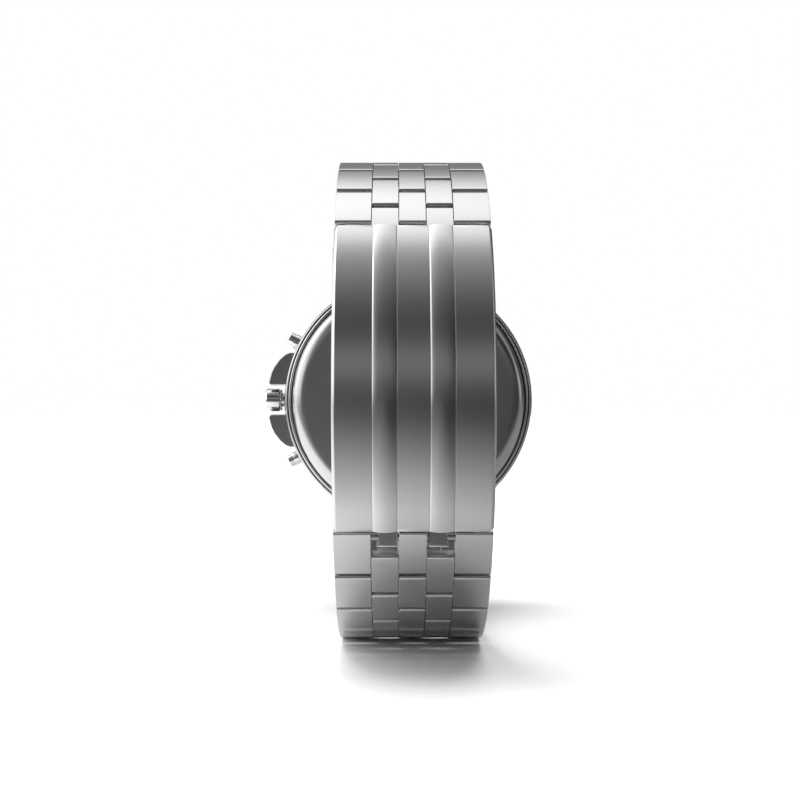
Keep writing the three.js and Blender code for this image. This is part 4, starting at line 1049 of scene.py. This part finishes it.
# The studio's brightness over the watch: degrees from the viewer's horizon, over the top, to the far one
SKY = ((0, 0.085), (5, 0.1), (12.6, 0.26), (19, 0.27), (27, 0.1), (35, 0.066), (43, 0.1), (51, 0.16), (59, 0.25),
       (68, 0.35), (77, 0.53), (86, 1.35), (93.6, 1.6), (108, 1.65), (117, 1.4), (124, 0.95), (130, 0.55), (139, 0.26),
       (153, 0.2), (180, 0.2))
SKY_SCALE = 2.0


def add_world():
    """A white studio: bright behind, above and at the crown's side, dim behind the viewer."""
    world = bpy.data.worlds.new("studio")
    bpy.context.scene.world = world
    world.use_nodes = True
    tree = world.node_tree
    background = tree.nodes["Background"]
    coordinates = add(tree, "ShaderNodeTexCoord")
    parts = add(tree, "ShaderNodeSeparateXYZ")
    tree.links.new(coordinates.outputs["Generated"], parts.inputs[0])

    def ramp(axis, start, end, amount, kind="SMOOTHSTEP"):
        node = add(tree, "ShaderNodeMapRange", interpolation_type=kind)
        node.inputs["From Min"].default_value = start
        node.inputs["From Max"].default_value = end
        node.inputs["To Max"].default_value = amount
        tree.links.new(parts.outputs[axis], node.inputs["Value"])
        return node.outputs["Result"]

    def combine(operation, first, second):
        node = add(tree, "ShaderNodeMath", operation=operation)
        for socket, value in zip(node.inputs, (first, second)):
            if isinstance(value, float):
                socket.default_value = value
            else:
                tree.links.new(value, socket)
        return node.outputs[0]

    turn = add(tree, "ShaderNodeMath", operation="ARCTAN2")
    tree.links.new(parts.outputs["Z"], turn.inputs[0])
    tree.links.new(parts.outputs["Y"], turn.inputs[1])
    height = combine("DIVIDE", turn.outputs[0], math.pi)
    arch = add(tree, "ShaderNodeValToRGB")
    tree.links.new(height, arch.inputs["Fac"])
    stops = arch.color_ramp.elements
    while len(stops) < len(SKY):
        stops.new(1.0)
    for stop, (degrees, strength) in zip(stops, SKY):
        stop.position = degrees / 180
        stop.color = (strength / SKY_SCALE,) * 3 + (1,)
    sky = combine("MULTIPLY", arch.outputs["Color"], SKY_SCALE)
    shade = combine("SUBTRACT", 1.0, ramp("X", -0.2, -0.8, 0.6))
    lean = combine("MULTIPLY", combine("MULTIPLY", parts.outputs["X"], parts.outputs["Z"]), 0.7)
    shade = combine("MULTIPLY", shade, combine("ADD", lean, 1.0))
    crown_side = ramp("X", 0.45, 0.85, 1.25)
    far_side = ramp("X", -0.93, -0.99, 0.5)
    total = combine("MULTIPLY", sky, shade)
    for part in (crown_side, far_side):
        total = combine("ADD", part, total)
    path = add(tree, "ShaderNodeLightPath")
    seen = add(tree, "ShaderNodeMix", data_type="FLOAT")
    tree.links.new(path.outputs["Is Camera Ray"], seen.inputs["Factor"])
    tree.links.new(total, seen.inputs["A"])
    seen.inputs["B"].default_value = 1.0
    background.inputs["Color"].default_value = (1, 1, 1, 1)
    tree.links.new(seen.outputs["Result"], background.inputs["Strength"])


def add_lamp(name, place, target, size, power):
    data = bpy.data.lights.new(name, "AREA")
    data.shape = "DISK"
    data.size = size
    data.energy = power
    lamp = bpy.data.objects.new(name, data)
    bpy.context.scene.collection.objects.link(lamp)
    lamp.location = place
    lamp.visible_glossy = False
    lamp.rotation_euler = (Vector(target) - Vector(place)).to_track_quat("-Z", "Y").to_euler()


def add_camera():
    """The camera, level with the loop's centre on the clasp's side."""
    data = bpy.data.cameras.new("camera")
    data.lens = 55.35
    data.sensor_width = 36
    camera = bpy.data.objects.new("camera", data)
    bpy.context.scene.collection.objects.link(camera)
    distance, aside, yaw = 201.6, 2.6, -0.27
    camera.location = CENTRE + Vector((aside, distance, 0)) * MM
    camera.rotation_euler = (math.pi / 2, 0, math.pi + math.radians(yaw))
    data.clip_start = 0.005
    bpy.context.scene.camera = camera


add_camera()
add_floor()
add_world()
add_lamp("overhead_lamp", (0.05, -0.05, 0.6), (0, 0, 0.03), 0.6, 4.0)
bpy.context.scene.view_settings.view_transform = "Standard"

add_bracelet()
add_end_links()
add_case()
add_bezel()
add_crystal()
add_dial()
add_hands()
add_controls()
add_clasp()
for node, finish in (("movement", "brass"), ("battery", "cell"), ("display_panel", "display"),
                     ("caseback_gasket", "rubber"), ("bezel_click_spring", "brass"),
                     ("setting_lever", "brass"), ("winding_stem", "pin")):
    dress(node, finish)
